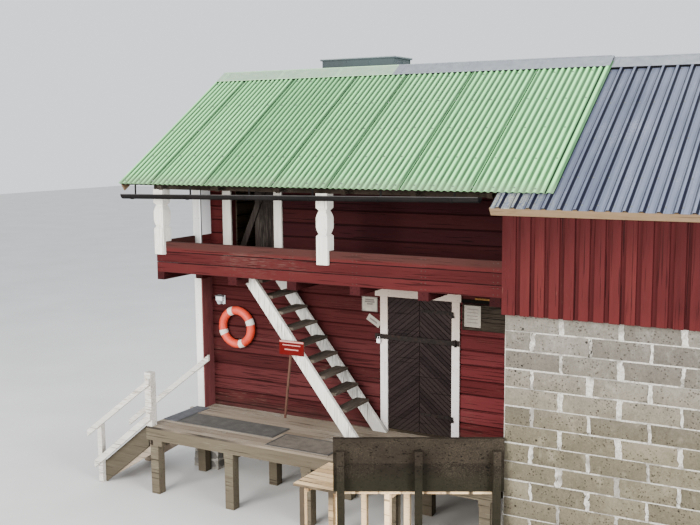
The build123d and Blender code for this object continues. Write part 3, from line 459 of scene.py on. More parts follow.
for part, colours, bare, axis, boards, wear, roughness, foot, grain, checks, head, node in (
        ("uprights", white, white_bare, Z, upright_boards, 0.64, 0.6, (0.88, 0.1, (360, 350, 300)), 12, 0.68, None,
         "loft_frame"),
        ("door_frame", ((302, 242, 197), (437, 359, 299), (554, 476, 409)), white_bare, Z, upright_boards, 0.64,
         0.6, (1.0, 1.5, (900, 900, 900)), 12, 0.68, (2.25, 0.7, (360, 290, 240)), "door_frame"),
        ("rails", ((380, 350, 300), (580, 550, 500), (720, 690, 640)), (280, 230, 170), X, rail_boards,
         0.6, 0.65, None, 8, 0.62, None, "stair_railing"),
        ("posts", white, white_bare, Z, upright_boards, 0.6, 0.62, None, 12, 0.66, None, "gallery_posts"),
        ("ladder", (*white[:2], (860, 860, 850)), (300, 280, 250), Z, (Y, -1.0, 0.3), 0.58, 0.6,
         (0.9, 0.16, (450, 430, 400)), 8, 0.64, None, "ladder_stringers")):
    dress(timber(f"white_paint_{part}", colours, bare, axis, boards, wear, roughness, None, foot, None, None, 0.2,
                 grain, checks, head), node)
for name, colours, bare, axis, boards, wear, roughness, seam, *nodes in (
        # The floor beams are tinted darker as painted shade under the gallery parapet.
        ("red_paint_beams", tinted(red, 0.45, 0.42, 0.48), red_bare, Y, (X, 0.75, 0.868), 0.7, 0.72, None,
         "floor_beams"),
        # The inner wall boards are a darker red as painted shade in the gaps between the outer boards.
        ("red_paint_wall_boards", tinted((board_red[0], red[1], board_red[1]), 0.66, 0.62, 0.64), red_bare, Z,
         (X, 4.837, 0.152), 0.7, 0.7, None, "board_walls"),
        ("raw_floor_boards", raw_wood, (300, 260, 210), X, (Y, -1.0, 0.125), 0.66, 0.8,
         (0.006, (20, 15, 10)), "ground_floor", "upper_floor"),
        # Roof timbers and boards are near black as painted shade under the roof and eaves.
        ("raw_roof_timber", ((10, 7, 5), (18, 13, 9), (28, 21, 15)),
         (60, 52, 42), Y, (X, -0.1, 0.5), 0.66, 0.8, None, "roof_timbers"),
        ("raw_roof_boards", ((8, 6, 4), (14, 11, 8), (24, 18, 13)),
         (72, 62, 50), X, (Z, 3.9, 0.11), 0.66, 0.85, (0.008, (5, 4, 2)), "roof_boards"),
        ("weathered_deck_frame", ((61, 48, 32), (94, 76, 52), (130, 109, 77)),
         (135, 121, 83), X, rail_boards, 0.6, 0.85, None, "deck_frame"),
        ("weathered_stair", ((150, 110, 80), (250, 195, 145), (360, 300, 230)), (340, 310, 260), X,
         rail_boards, 0.6, 0.85, None, "stair_stringers", "stair_treads"),
        ("new_pale_slats", ((548, 354, 185), (759, 531, 293), (920, 681, 401)),
         (541, 416, 265), X, (Y, -2.092, 0.113), 0.66, 0.8, (0.016, (60, 45, 30)), "landing"),
        ("dark_treads", ((32, 25, 19), (60, 47, 37), (98, 79, 62)),
         (140, 119, 94), Y, (Z, 1.28, 0.19), 0.62, 0.85, None, "ladder_treads"),
        ("notice_board_wood", ((5, 3, 2), (11, 7, 5), (19, 13, 9)),
         (32, 25, 18), X, (Z, 2.3, 0.16), 0.58, 0.8, (0.006, (2, 1, 1)), "notice_plank"),
        ("dark_brown_boards", ((6, 4, 3), (12, 8, 7), (22, 15, 13)),
         (39, 33, 27), Z, (X, 0.5, 0.1), 0.6, 0.7, None, "loft_door", "door_leaf"),
        ("beige_edge_boards", ((123, 79, 46), (171, 113, 65), (219, 152, 91)),
         (120, 77, 40), X, (Z, 3.0, 0.9), 0.62, 0.7, None, "verge_and_fascia_boards"),
        ("sign_stick_wood", ((50, 22, 15), (85, 43, 30), (120, 70, 50)), (135, 100, 75),
         Z, (X, 1.0, 0.5), 0.66, 0.8, None, "sign_on_stick")):
    dress(timber(name, colours, bare, axis, boards, wear, roughness, seam), *nodes)
dress(timber("weathered_deck_boards", grey_wood, (420, 400, 350), X, (Y, deck_front, deck_step), 0.6, 0.85,
             (0.007, (30, 25, 20)), spread=0.3, grain=18), "deck_boards")
dress(timber("dark_plank", ((6, 5, 3), (14, 10, 7), (26, 20, 13)), (40, 32, 22), X, (Z, 0.6, 0.29), 0.62, 0.85,
             None, (0.8, 0.3, (17, 16, 9)), spread=0.3, grain=12), "retaining_plank")


def casing_paint():
    """White in front with a brighter side above the gallery as painted light, red on the side below the gallery, a
    dark joint between the two upper boards.
    """
    f = Finish("corner_casing_paint", 0.65, 0.0, 0.1)
    streaks = f.cloud(0.07, 5, 0.6, 0.0, (1, 1, 8))
    fine = f.cloud(0.006, 3, 0.6, 3.3, (1, 1, 8))
    value = f.blend((streaks, 0.72), (fine, 0.28))
    side = f.past(X, casing_side - 0.0005, casing_side + 0.0005)
    pale = f.shades(value, (0.32, 0.68), ((560, 550, 510), (780, 770, 730)))
    # Painted light: the side board is laid over with near white, as if lit from the right.
    pale = f.over(side, pale, (940, 940, 940))
    reds = f.shades(value, (0.32, 0.68), ((85, 24, 24), (145, 44, 44)))
    colour = f.over(f.times(side, f.rest(f.past(Z, 2.9, 3.0))), pale, reds)
    gap = f.times(f.past(X, 0.1265, 0.1275), f.rest(f.past(Y, -0.2005, -0.1985)))
    colour = f.over(f.times(gap, f.past(Z, 3.0, 3.1)), colour, (20, 16, 14), 0.9)
    f.relief(streaks, 0.0014).relief(fine, 0.0007)
    return f.done(colour)


dress(casing_paint(), "corner_casing")


# Finishes of the sheets, the stone and the iron

def green_sheet_paint():
    """Painted corrugated sheet: wave bottoms darker with dirt and painted shade, one flank of each wave in painted
    shade, one tone a sheet, runs of dirt down the slope, a dull foot.
    """
    f = Finish("green_sheet_paint", 0.5, 0.0, 0.22)
    runs = f.cloud(0.02, 4, 0.6, 0.0, (1, 14, 14))
    spots = f.cloud(0.012, 3, 0.6, 4.4)
    large = f.cloud(0.7, 3, 0.5, 1.9, (1, 1.4, 1.4))
    tone = f.course(X, 0.045, 0.87, 3.0)
    colour = f.shades(f.blend((runs, 0.3), (large, 0.42), (tone, 0.34)), (0.32, 0.56, 0.8),
                      ((230, 626, 231), (312, 800, 304), (379, 908, 364)))
    dirt, valley = (146, 211, 120), (25, 69, 27)
    # Wave bottoms darker, part dirt and part painted shade; one flank of each wave darker as painted shade.
    wave_turn = f.times(f.turn(X, green_left, wave_pitch), 2 * pi)
    low = f.rest(f.ease(f.sum(wave_turn, 0.0, "COSINE"), -0.65, 0.9))
    colour = f.over(f.times(low, f.sum(f.times(runs, 0.3), 0.8)), colour, valley)
    colour = f.over(f.ease(f.sum(wave_turn, 0.0, "SINE"), 0.1, 1.0), colour, valley, 0.3)
    colour = f.over(f.ease(f.blend((spots, 0.55), (runs, 0.45)), 0.6, 0.72), colour, dirt, 0.45)
    foot = f.rest(f.ease(f.less(f.along[Z], f.times(spots, 0.12)), 3.98, 4.12))
    colour = f.over(foot, colour, dirt, 0.62)
    rust = f.ease(f.sum(f.cloud(0.25, 5, 0.7, 6.0), f.times(spots, 0.12)), 0.76, 0.8)
    colour = f.over(rust, colour, (160, 70, 35), 0.7)
    colour = f.over(f.past(X, 2.6, 5.0), colour, (1300, 1500, 1360), 0.5, "MULTIPLY")
    f.relief(runs, 0.0005).relief(spots, 0.0004)
    return f.done(colour, f.sum(f.times(spots, 0.25), 0.38))


def dark_sheet_paint():
    """Painted ribbed sheet: painted shade on the rib flanks and along thin stiffening lines in the pans, dull runs,
    dust and lichen.
    """
    f = Finish("dark_sheet_paint", 0.5, 0.0, 0.12)
    runs = f.cloud(0.03, 4, 0.6, 0.0, (1, 12, 12))
    large = f.cloud(0.5, 3, 0.5, 2.2, (1, 1.6, 1.6))
    spots = f.cloud(0.02, detail=3, shift=7.1)
    tone = f.course(X, dark_left, rib_pitch * 7, 1.0)
    colour = f.shades(f.blend((runs, 0.34), (large, 0.42), (tone, 0.22)), (0.3, 0.5, 0.72),
                      ((85, 97, 141), (115, 131, 183), (151, 168, 225)))
    dust = f.ease(f.blend((spots, 0.4), (large, 0.6)), 0.55, 0.68)
    colour = f.over(dust, colour, (340, 350, 370), 0.25)
    low_left = f.times(f.rest(f.past(X, 4.75, 5.6)), f.rest(f.past(Z, 3.9, 4.25)))
    lichen = f.times(f.ease(f.blend((spots, 0.5), (runs, 0.5)), 0.42, 0.6), low_left)
    colour = f.over(lichen, colour, (360, 370, 250), 0.7)
    # Painted shade: near-black strips on the rib flanks and along thin stiffening lines in the pans.
    across = f.from_seam(X, dark_left + rib_pitch / 2, rib_pitch)
    for low, high, share in ((0.012, 0.038, 1.0), (-0.038, -0.024, 0.75), (-0.056, -0.048, 0.3),
                             (0.052, 0.06, 0.3)):
        colour = f.over(f.within(across, low, high), colour, (6, 7, 15), share)
    colour = f.over(f.rest(f.ease(f.pits(0.16), 0.03, 0.06)), colour, (60, 50, 50), 0.6)
    f.relief(runs, 0.0004)
    return f.done(colour, f.sum(f.times(spots, 0.24), 0.3))


def ridge_cap_paint():
    """Grey caps with green ones at the left."""
    f = Finish("ridge_cap_paint", 0.5)
    blotches = f.cloud(0.12, 5, 0.6)
    fine = f.cloud(0.006, 3, 0.6, 3.3)
    value = f.blend((blotches, 0.72), (fine, 0.28))
    grey = f.shades(value, (0.32, 0.68), ((162, 174, 192), (252, 264, 282)))
    green = f.shades(value, (0.32, 0.68), ((252, 360, 240), (348, 456, 324)))
    colour = f.over(f.rest(f.past(X, cap_seam - 0.002, cap_seam + 0.002)), grey, green)
    f.relief(blotches, 0.0012).relief(fine, 0.0006)
    return f.done(colour, f.sum(f.times(blotches, 0.2), 0.4))


def mortar_coat():
    """Rough mortar, dark where its bed shows."""
    f = Finish("mortar", 0.95)
    grain = f.cloud(0.02, 4, 0.7)
    patch = f.cloud(0.22, 4, 0.6, 3.0)
    colour = f.shades(grain, (0.3, 0.5, 0.7), ((220, 195, 160), (400, 375, 330), (560, 530, 480)))
    colour = f.over(f.ease(patch, 0.47, 0.6), colour, (130, 118, 98), 0.72)
    f.relief(grain, 0.004).relief(patch, 0.003)
    return f.done(colour)


def mat_rubber():
    """Ribbed rubber mats: the long dark one, the bluish one at the left and the brown one at the right."""
    f = Finish("rubber_mats", 0.85)
    dust = f.cloud(0.11, 5, 0.65)
    fine = f.cloud(0.008, detail=2, shift=3.0)
    value = f.blend((dust, 0.7), (fine, 0.3))
    colour = f.shades(value, (0.32, 0.55, 0.75), ((64, 60, 54), (106, 99, 89), (178, 166, 145)))
    left = f.shades(value, (0.32, 0.7), ((81, 81, 89), (170, 170, 183)))
    right = f.shades(value, (0.32, 0.7), ((102, 85, 68), (230, 191, 153)))
    colour = f.over(f.rest(f.past(X, 0.214, 0.218)), colour, left)
    colour = f.over(f.past(X, 1.74, 1.76), colour, right)
    ribs = f.seam(Y, 0.0, 0.012, 0.006)
    colour = f.over(ribs, colour, (25, 24, 22), 0.45)
    f.relief(f.rest(ribs), 0.002).relief(fine, 0.0008)
    return f.done(colour)


mortar = mortar_coat()
chimney_sheet = mottled("chimney_sheet", 0.3, 0.5, (16, 26, 31), (22, 38, 40), (30, 48, 52), stretch=(1, 1, 2),
                        stain=(18, 24, 25))
iron = mottled("dark_iron", 0.03, 0.8, (7, 6, 5.5), (14, 11, 10), (28, 20, 17), metallic=0.1,
               stain=(30, 16, 11), specular=0.1)
dress(green_sheet_paint(), "green_sheets")
dress(dark_sheet_paint(), "dark_sheets")
dress(ridge_cap_paint(), "ridge_caps")
dress(mottled("gutter_sheet", 0.09, 0.8, (4, 4, 4), (8, 7, 7), (16, 15, 14), stretch=(8, 1, 1), specular=0.04),
      "gutter")
dress(chimney_sheet, "chimney")
dress(mortar, "block_walls", "foundation_piers")
dress(iron, "door_straps", "hinge_irons", "locking_bar")
dress(mottled("lock_body", 0.02, 0.4, (800, 800, 800), (920, 920, 920), metallic=0.1), "padlock")
dress(mat_rubber(), "door_mats")


# Concrete blocks in running bond, a little proud of the mortar

def block_faces():
    """Grey faces with lime bloom, pits, chips and damp feet."""
    f = Finish("concrete_block_faces", 0.95, 0.0, 0.08)
    grain = f.cloud(0.009, 4, 0.7)
    middle = f.cloud(0.03, 3, 0.7, 6.0)
    patches = f.cloud(0.16, 4, 0.6, 2.0)
    colour = f.shades(f.blend((grain, 0.3), (middle, 0.28), (patches, 0.26), (f.own(), 0.2)), (0.34, 0.52, 0.68),
                      ((72, 64, 53), (120, 107, 88), (188, 169, 142)))
    lime = f.ease(f.cloud(0.22, 5, 0.7, 5.0, (1, 1, 1.6)), 0.54, 0.74)
    colour = f.over(lime, colour, (258, 237, 202), 0.5)
    holes = f.times(f.rest(f.ease(f.pits(0.03), 0.2, 0.32)), f.ease(f.cloud(0.09, detail=3, shift=9.0), 0.44, 0.56))
    chips = f.times(f.rest(f.ease(f.pits(0.13), 0.075, 0.11)), f.ease(f.cloud(0.5, detail=2, shift=4.0), 0.44, 0.5))
    colour = f.over(holes, colour, (30, 26, 20), 0.65)
    colour = f.over(chips, colour, (15, 14, 12), 0.9)
    colour = f.over(f.rest(f.past(Z, 1.4, 2.5)), colour, (920, 877, 722), how="MULTIPLY")
    damp = f.rest(f.ease(f.less(f.along[Z], f.times(patches, 0.7)), 0.0, 0.75))
    colour = f.over(damp, colour, (81, 65, 44), 0.28)
    f.relief(grain, 0.003).relief(f.rest(f.sum(holes, chips)), 0.006).relief(middle, 0.004)
    return f.done(colour)


blocks = block_faces()
block_high, block_long, block_rows = 0.2, 0.6, 14
for side, start, stop, face in (("front", block_left, block_right, block_front),
                                ("right", block_front, block_rear, block_right),
                                ("rear", -block_right, -block_left, block_rear),
                                ("left", 0.22, -block_front, block_left)):
    place, bm, smears = facing(side, face), shape(), shape()
    for row in range(block_rows):
        top = block_top - block_high * row
        joints = [start]
        edge = start + block_long / (1 + row % 2)
        while edge < stop - 0.02:
            joints.append(edge)
            edge += block_long
        joints.append(stop)
        for left, right in zip(joints, joints[1:]):
            proud = -0.006 + between(-0.0015, 0.0015)
            low = (left + 0.006 + between(0, 0.004), proud, top - 0.195 + between(0, 0.006))
            high = (right - 0.006 - between(0, 0.004), 0.02, top - 0.004 - between(0, 0.007))
            slab(bm, low, high, 0.005, place, segments=2)
        for joint in joints[1:-1]:
            half, lean = between(0.01, 0.034), between(-0.1, 0.1)
            part = lump((joint - half, -0.0085, top - 0.197), (joint + half, 0.01, top - 0.003), 4)
            jitter(part.verts, (0.011, 0.0008, 0.004))
            for vert in part.verts:
                vert.co.x += lean * (vert.co.z - top + block_high / 2)
                vert.co.z = max(vert.co.z, 0.001)
            ops.transform(part, matrix=place, verts=part.verts)
            join(smears, part)
    piece(f"block_{side}", bm, blocks)
    piece(f"block_{side}_mortar_smears", smears, mortar, 60)

# Board cladding: outer boards over the gaps of the inner ones, sawn off at the underside of the roof
roof_depth = 0.139
roof_top = Vector((0, ridge_y, apex - roof_depth / cos(pitch)))
roof_under = [(roof_top, Vector((0, side * sin(pitch), cos(pitch)))) for side in (-1, 1)]
# The front and rear cladding darken towards the top as painted shade under the eaves.
cladding_paint, shade_painted_cladding = (
    timber(name, board_red, (107, 53, 41), Z, None, 0.7, 0.68, None, (2.7, 0.22, (70, 10, 10)),
           spread=0.42, grain=16, head=painted_eave_shade)
    for name, painted_eave_shade in (("cladding_paint", None),
                            ("cladding_paint_with_painted_shade", (3.46, 0.8, (26, 3, 3)))))
board_step, board_wide, board_thick, corner_extra = 0.152, 0.1, 0.021, 0.045
gallery_end, parapet_inner, parapet_outer = 1.01, 0.97, 1.0


def board_foot(side, low, high):
    """Where a board ends: the left gable's stop over the gallery floor and leave the parapet its place."""
    if side != "left" or high > gallery_end:
        return clad_foot
    return 3.31 if low < parapet_inner < high or low < parapet_outer < high else 2.96


for wall, side, start, stop, face, paint in (
        ("front", "front", clad_left + 0.002, clad_right + 0.018, clad_front, shade_painted_cladding),
        ("rear", "rear", -clad_right - 0.018, -clad_left - 0.002, clad_rear, shade_painted_cladding),
        ("right_gable", "right", clad_front + 0.004, clad_rear - 0.004, clad_right, cladding_paint),
        ("left_gable", "left", 0.012, -clad_front - 0.004, clad_left, cladding_paint)):
    bm, place, edge = shape(), facing(side, face), start
    while edge < stop - 0.03:
        extra = corner_extra if edge == start else 0.0
        end = edge + min(board_wide + extra, stop - edge)
        low = (edge, -board_thick, board_foot(side, edge, end) - between(0, 0.003))
        sawn(bm, low, (end, 0.0, 6.0), roof_under, 0.003, place)
        edge += board_step + extra
    piece(f"cladding_{wall}", bm, paint)


# Roof: side laps of the sheets, and dark strips of painted shadow at their edges

def lap_strip(bm, x, place, wide):
    """A strip down the slope that follows the waves."""
    part = shape()
    made = ops.create_grid(part, x_segments=6, y_segments=1, size=0.5)["verts"]
    mark(part, made)
    for vert in made:
        along = x + vert.co.x * wide
        dip = wave_depth / 2 * (1 - cos(2 * pi * (along - green_left) / wave_pitch))
        down = 0.1 + (vert.co.y + 0.5) * (green_slope - 0.102)
        vert.co = place @ Vector((along, down, 0.0022 - dip))
    ops.recalc_face_normals(part, faces=part.faces)
    ops.solidify(part, geom=part.faces, thickness=-0.003)
    join(bm, part)


lap_shadow_strips, laps = shape(), shape()
for lap_x in (0.102, 0.938, 1.926, 2.686, 3.598, 4.434, 5.232):
    for place in slopes:
        lap_strip(laps, lap_x + 0.009 + wave_pitch / 2, place, wave_pitch)
        lap_strip(lap_shadow_strips, lap_x, place, 0.016)
piece("sheet_side_laps", laps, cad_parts["green_sheets"].material_slots[0].material, 50)
piece("sheet_lap_shadows", lap_shadow_strips,
      mottled("painted_lap_shadows", 0.05, 0.9, (6, 14, 8), (18, 36, 20), specular=0.05), 50)


# Roof screws with washers, and the dark fillers that close the profiles under the edge of the ridge caps; their
# near-black colour is also painted shadow under the caps

def screw(bm, place, x, down, levels, radii):
    """Round heads on each other, out of the roof."""
    for low, high, radius, sides in zip(levels, levels[1:], radii, (8, 6)):
        round_bar(bm, place @ Vector((x, down, low)), place @ Vector((x, down, high)), radius, sides)


bm, fillers = shape(), shape()
foot = -dark_crest - 0.02
for place in slopes:
    for row, down in enumerate((0.34, 0.95, 1.56, 2.17, 2.72)):
        for i in range(1, 75, 3):
            x = green_left + wave_pitch * (i + row % 2)
            screw(bm, place, x, down + between(-0.012, 0.012), (-0.001, 0.0025, 0.0075), (0.011, 0.0052))
    for down in (0.3, 1.02, 1.74, 2.46, 2.93):
        for i in range(22):
            x = dark_left + rib_pitch * (i + 0.5) + 0.048
            if x >= green_right + 0.04 or down >= green_slope + 0.05:
                screw(bm, place, x, down, (foot - 0.001, foot + 0.002, foot + 0.007), (0.01, 0.005))
piece("roof_screws", bm,
      mottled("screw_heads", 0.01, 0.5, (100, 110, 100), (240, 260, 240), metallic=0.3, stain=(120, 60, 30)))
# The fillers are real closures, near black as painted shadow under the cap edges.
for place in slopes:
    for low, high in (((green_left + 0.01, 0.224, -wave_depth - 0.0005), (green_right - 0.01, 0.25, -0.004)),
                      ((green_right + 0.03, 0.224, foot - 0.0015), (dark_right - 0.01, 0.262, foot + 0.017))):
        slab(fillers, low, high, 0.0, place)
piece("profile_fillers", fillers, mottled("profile_fillers", 0.03, 0.95, (4, 4, 5), (10, 10, 11),
              specular=0.03))

# Joints and turned edges of the ridge caps
cap_green, cap_grey = (mottled(f"cap_joints_{name}", 0.06, 0.5, *colours) for name, colours in (
    ("green", ((270, 424, 262), (390, 560, 367))), ("grey", ((154, 168, 189), (252, 266, 287)))))
cap_reach = 0.236
for name, finish, joints, start, stop, lift in (
        ("green", cap_green, (-0.36, 0.62, 1.55), green_left, cap_seam, 0.0045),
        ("grey", cap_grey, (2.5, 3.42, 4.38), 2.441, green_right, 0.0045),
        ("low", cap_grey, (5.33, 6.45, 7.55, 8.26), 5.271, dark_right, 0.0045 - dark_crest)):
    bm = shape()
    for place in slopes:
        for joint in joints:
            slab(bm, (joint, 0.0, lift - 0.002), (joint + 0.055, cap_reach, lift + 0.0022), 0.001, place)
        round_bar(bm, *(place @ Vector((x, cap_reach, lift - 0.003)) for x in (start, stop)), 0.0045)
        x = start + 0.11
        while x < stop - 0.03:
            screw(bm, place, x, 0.205, (lift - 0.001, lift + 0.004), (0.009,))
            x += 0.38
    crown = apex + lift / cos(pitch) - 0.002
    round_bar(bm, (start, ridge_y, crown), (stop, ridge_y, crown), 0.0075, 10)
    piece(f"ridge_joints_{name}", bm, finish)

# Gutter: its rolled front rim
bm = shape()
rim_front = -1.2635
round_bar(bm, (-0.338, rim_front, 3.9005), (4.538, rim_front, 3.9755), 0.0045, 10)
piece("gutter_rolled_rim", bm, mottled("gutter_rim_sheet", 0.07, 0.45, (20, 18, 17), (45, 42, 40),
              stretch=(8, 1, 1)))

# Chimney box: standing seams, rivets, and a cap with a turned edge
box_low, box_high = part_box("chimney")
cap_over, cap_foot, seam_foot = 0.024, box_high.z - 0.026, box_low.z + 0.01
body_left, body_right = box_low.x + cap_over, box_high.x - cap_over
body_front, body_back = box_low.y + cap_over, box_high.y - cap_over
bm = shape()
for i in range(4):
    x = body_left + 0.012 + (body_right - body_left - 0.024) * i / 3
    for y, near, far in ((body_front, 0.006, 0.004), (body_back, 0.004, 0.006)):
        slab(bm, (x - 0.01, y - near, seam_foot), (x + 0.01, y + far, cap_foot), 0.002)
for y in (body_front + 0.012, (body_front + body_back) / 2, body_back - 0.012):
    for x, near, far in ((body_right, 0.004, 0.006), (body_left, 0.006, 0.004)):
        slab(bm, (x - near, y - 0.01, seam_foot), (x + far, y + 0.01, cap_foot), 0.002)
studs(bm, ((body_left + 0.05 + (body_right - body_left - 0.1) * i / 8, cap_foot + 0.012) for i in range(9)),
      box_low.y - 0.0002, box_low.y + 0.01, 0.004)
piece("chimney_seams", bm, chimney_sheet)
bm = shape()
edge_z, inset = box_high.z - 0.0055, 0.004
left, right, front, back = box_low.x + inset, box_high.x - inset, box_low.y + inset, box_high.y - inset
corners = [(left, front, edge_z), (right, front, edge_z), (right, back, edge_z), (left, back, edge_z)]
for start, end in zip(corners, corners[1:] + corners[:1]):
    round_bar(bm, start, end, 0.0052)
piece("chimney_cap_edge", bm,
      mottled("pale_folded_edge", 0.05, 0.5, (269, 301, 307), (384, 416, 422)))

# Plank door: boards laid to a point on a backing
leaf_middle, leaf_half = (leaf_left + leaf_right) / 2, (leaf_right - leaf_left) / 2
lean, board_rise, board_gap = radians(39.5), 0.064, 0.0055
half_wide = (board_rise * cos(lean) - board_gap) / 2
reach = leaf_half / cos(lean) + 0.1
bm = shape()
slab(bm, (leaf_left, leaf_face + 0.009, leaf_foot), (leaf_right, 0.022, leaf_head), 0.002, None, 0.1)
for side in (-1, 1):
    cuts = [((leaf_middle + side * 0.002, 0, 0), (-side, 0, 0)),
            ((leaf_middle + side * leaf_half, 0, 0), (side, 0, 0)),
            ((0, 0, leaf_foot), (0, 0, -1)), ((0, 0, leaf_head), (0, 0, 1))]
    left, right = (0.0, reach) if side > 0 else (-reach, 0.0)
    level = leaf_foot - 0.01
    while level < leaf_head + leaf_half * tan(lean) + board_rise:
        place = moved((leaf_middle, 0, level)) @ turned(side * lean, 4, "Y")
        sawn(bm, (left - 0.06, leaf_face, -half_wide), (right + 0.06, leaf_face + 0.012, half_wide), cuts, 0.0028,
             place)
        level += board_rise
door_wood = timber("door_boards", ((7, 4, 4), (15, 9, 9), (22, 15, 13)),
                   (34, 25, 20), X, None, 0.7, 0.62, None, (0.93, 0.16, (20, 15, 12)),
                   spread=0.35, grain=5, checks=0.66)
door = piece("plank_door", bm, door_wood, body="door")
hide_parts("door_leaf")
bm = shape()
studs(bm, ((x, z) for z in (1.18, 2.48) for x in (3.36, 3.45, 3.54, 3.63)), leaf_face - 0.012, leaf_face - 0.004,
      0.006, 8, 0.009)
piece("door_bolts", bm, iron, body="door")

# Nails of the door frame, the parapet, the corner casing and the deck
nail_finish = mottled("nail_heads", 0.004, 0.6, (30, 24, 21), (84, 60, 48), metallic=0.4)
# How far out the heads stand, how far in they reach, and their radius
frame_nail, parapet_nail, casing_nail = (-0.0288, -0.024, 0.0042), (-0.993, -0.988, 0.005), (-0.2248, -0.22, 0.0042)
bm = shape()
studs(bm, ((x, 1.02 + i * 0.385 + between(-0.02, 0.02)) for x in (2.781, 2.831, 3.753, 3.803)
           for i in range(5)), *frame_nail)
studs(bm, ((2.72 + i * 0.155, z) for i in range(8) for z in (2.652, 2.697)), *frame_nail)
parapet_columns = 0.075, 1.165, 1.215, 2.035, 2.085, 2.9, 2.95, 3.77, 3.82, 4.62, 4.67
studs(bm, ((x, level + off) for level in (2.955, 3.09, 3.225) for x in parapet_columns for off in (-0.035, 0.035)),
      *parapet_nail)
studs(bm, ((x, z) for x in (0.045, 0.095) for z in (1.0, 1.4, 1.8, 2.2, 2.6, 3.26, 3.52, 3.8)),
      *casing_nail)
piece("nail_heads", bm, nail_finish)
bm = shape()
for x in (0.03, 0.62, 1.25, 1.9, 2.52, 3.15, 3.8, 4.4, 4.72):
    for i in range(10):
        for share in (0.25, 0.75):
            y = deck_front + deck_step * (i + share)
            spot = x + between(-0.006, 0.006)
            under_mats = (0.2 < spot < 1.74 and -0.98 < y < -0.53) or (spot < 0.24 and y < -0.3)
            if y >= -1.27 and not under_mats:
                round_bar(bm, (spot, y, floor_level - 0.002), (spot, y, floor_level + 0.0008), 0.0042, 6)
piece("deck_nails", bm, nail_finish)

# Keeper plate behind the bar's end, slot and strip over the dark plank, sloping cheek board of the left stair
board_piece("bar_keeper_plate", iron, [((3.735, -0.0315, 2.084), (3.827, -0.0275, 2.156))], 0.001)
board_piece("dark_slot_board",
            mottled("slot_shadow_paint", 0.05, 0.9, (2, 2, 2), (6, 5, 4), specular=0.05),
            [((3.84, -0.012, 2.624), (4.64, 0.004, 2.668))], 0.002)
board_piece("ochre_strip", timber("ochre_strip_wood", ((100, 45, 12), (170, 85, 25), (240, 130, 45)),
                   (100, 60, 30), X), [((4.02, -0.018, 2.672), (4.56, 0.004, 2.694))], 0.002)
bm = shape()
slope = moved((-0.03, 0, 0.915)) @ turned(-atan(0.8), 4, "Y")
sawn(bm, (-1.2, -1.2325, -0.235), (0.1, -1.2135, 0.0),
     [((-0.81, 0, 0), (-1, 0, 0)), ((-0.036, 0, 0), (1, 0, 0)), ((0, 0, 0.004), (0, 0, -1))], 0.003, slope, 0.5)
piece("stair_cheek_board", bm, timber("cheek_board_wood", ((34, 27, 18), (64, 53, 36), (101, 86, 64)),
             (112, 98, 75), X))

# Bare notices on the wall: a square one, a tilted strip, and a pale sheet on the dark plank
bm = shape()
tilt = moved((2.652, -0.003, 2.3)) @ turned(radians(31), 4, "Y")
slab(bm, (2.49, -0.0075, 2.42), (2.7, 0.001, 2.6), 0.0015)
slab(bm, (-0.1, -0.0035, -0.043), (0.1, 0.0035, 0.043), 0.0012, tilt)
slab(bm, (3.89, -0.0285, 2.34), (4.1, -0.0235, 2.6), 0.0015)
piece("bare_notices", bm,
      mottled("bare_card", 0.05, 0.7, (161, 143, 118), (219, 197, 164), (252, 229, 192), stain=(330, 290, 230)))
bm = shape()
for left, foot, right, top in ((2.486, 2.414, 2.704, 2.424), (2.486, 2.596, 2.704, 2.606),
                               (2.482, 2.414, 2.492, 2.606), (2.698, 2.414, 2.708, 2.606)):
    slab(bm, (left, -0.0095, foot), (right, 0.001, top), 0.0015)
slab(bm, (-0.06, -0.0045, -0.012), (0.055, -0.003, 0.01), 0.0008, tilt)
for z, half in ((2.566, 0.062), (2.54, 0.07), (2.512, 0.04)):
    slab(bm, (2.595 - half, -0.0085, z - 0.01), (2.595 + half, 0.001, z + 0.01), 0.001)
for z in (2.556, 2.516, 2.476, 2.436, 2.396):
    slab(bm, (3.925, -0.0293, z - 0.0035), (4.065, -0.0235, z + 0.0035), 0.0006)
studs(bm, ((2.5, 2.59), (2.69, 2.59), (2.5, 2.43), (2.69, 2.43)), -0.0115, -0.006, 0.004, 8)
studs(bm, ((3.905, 2.355), (3.905, 2.585), (4.085, 2.355), (4.085, 2.585)), -0.0305, -0.026, 0.004, 8)
piece("notice_rims", bm, mottled("card_rim", 0.02, 0.7, (72, 60, 54), (120, 102, 90)))

# Wall lamp: back plate, rounded case, darker lid, ribbed glass
low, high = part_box("wall_lamp")
bm = shape()
slab(bm, (low.x, high.y - 0.02, low.z), high, 0.004, None, 0.5, 2)
slab(bm, (low.x + 0.008, low.y + 0.022, low.z + 0.046), (high.x - 0.008, high.y - 0.015, high.z - 0.01), 0.012,
     None, 0.5, 3)
lamp = piece("lamp_case", bm, mottled("lamp_case_paint", 0.04, 0.5, (560, 580, 600), (760, 780, 800),
                     stain=(420, 420, 400)))
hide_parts("wall_lamp")
bm = shape()
slab(bm, (low.x + 0.002, low.y + 0.012, high.z - 0.016), (high.x - 0.002, high.y - 0.012, high.z - 0.0005), 0.005,
     None, 0.5, 2)
studs(bm, ((x, low.z + 0.014) for x in (low.x + 0.01, high.x - 0.01)), high.y - 0.024, high.y - 0.018, 0.0045, 8)
piece("lamp_lid", bm, mottled("lamp_lid", 0.03, 0.45, (70, 73, 77), (126, 130, 133)))
bm = shape()
middle_x, middle_y = (low.x + high.x) / 2, (low.y + high.y) / 2 - 0.008
for i in range(5):
    z = low.z + 0.006 + 0.008 * i
    round_bar(bm, (middle_x, middle_y, z), (middle_x, middle_y, z + 0.009), 0.026 + 0.0035 * i, 20,
              0.0285 + 0.0035 * i)
piece("lamp_glass", bm,
      mottled("lamp_glass", 0.03, 0.25, (320, 340, 360), (500, 530, 550), specular=0.6))

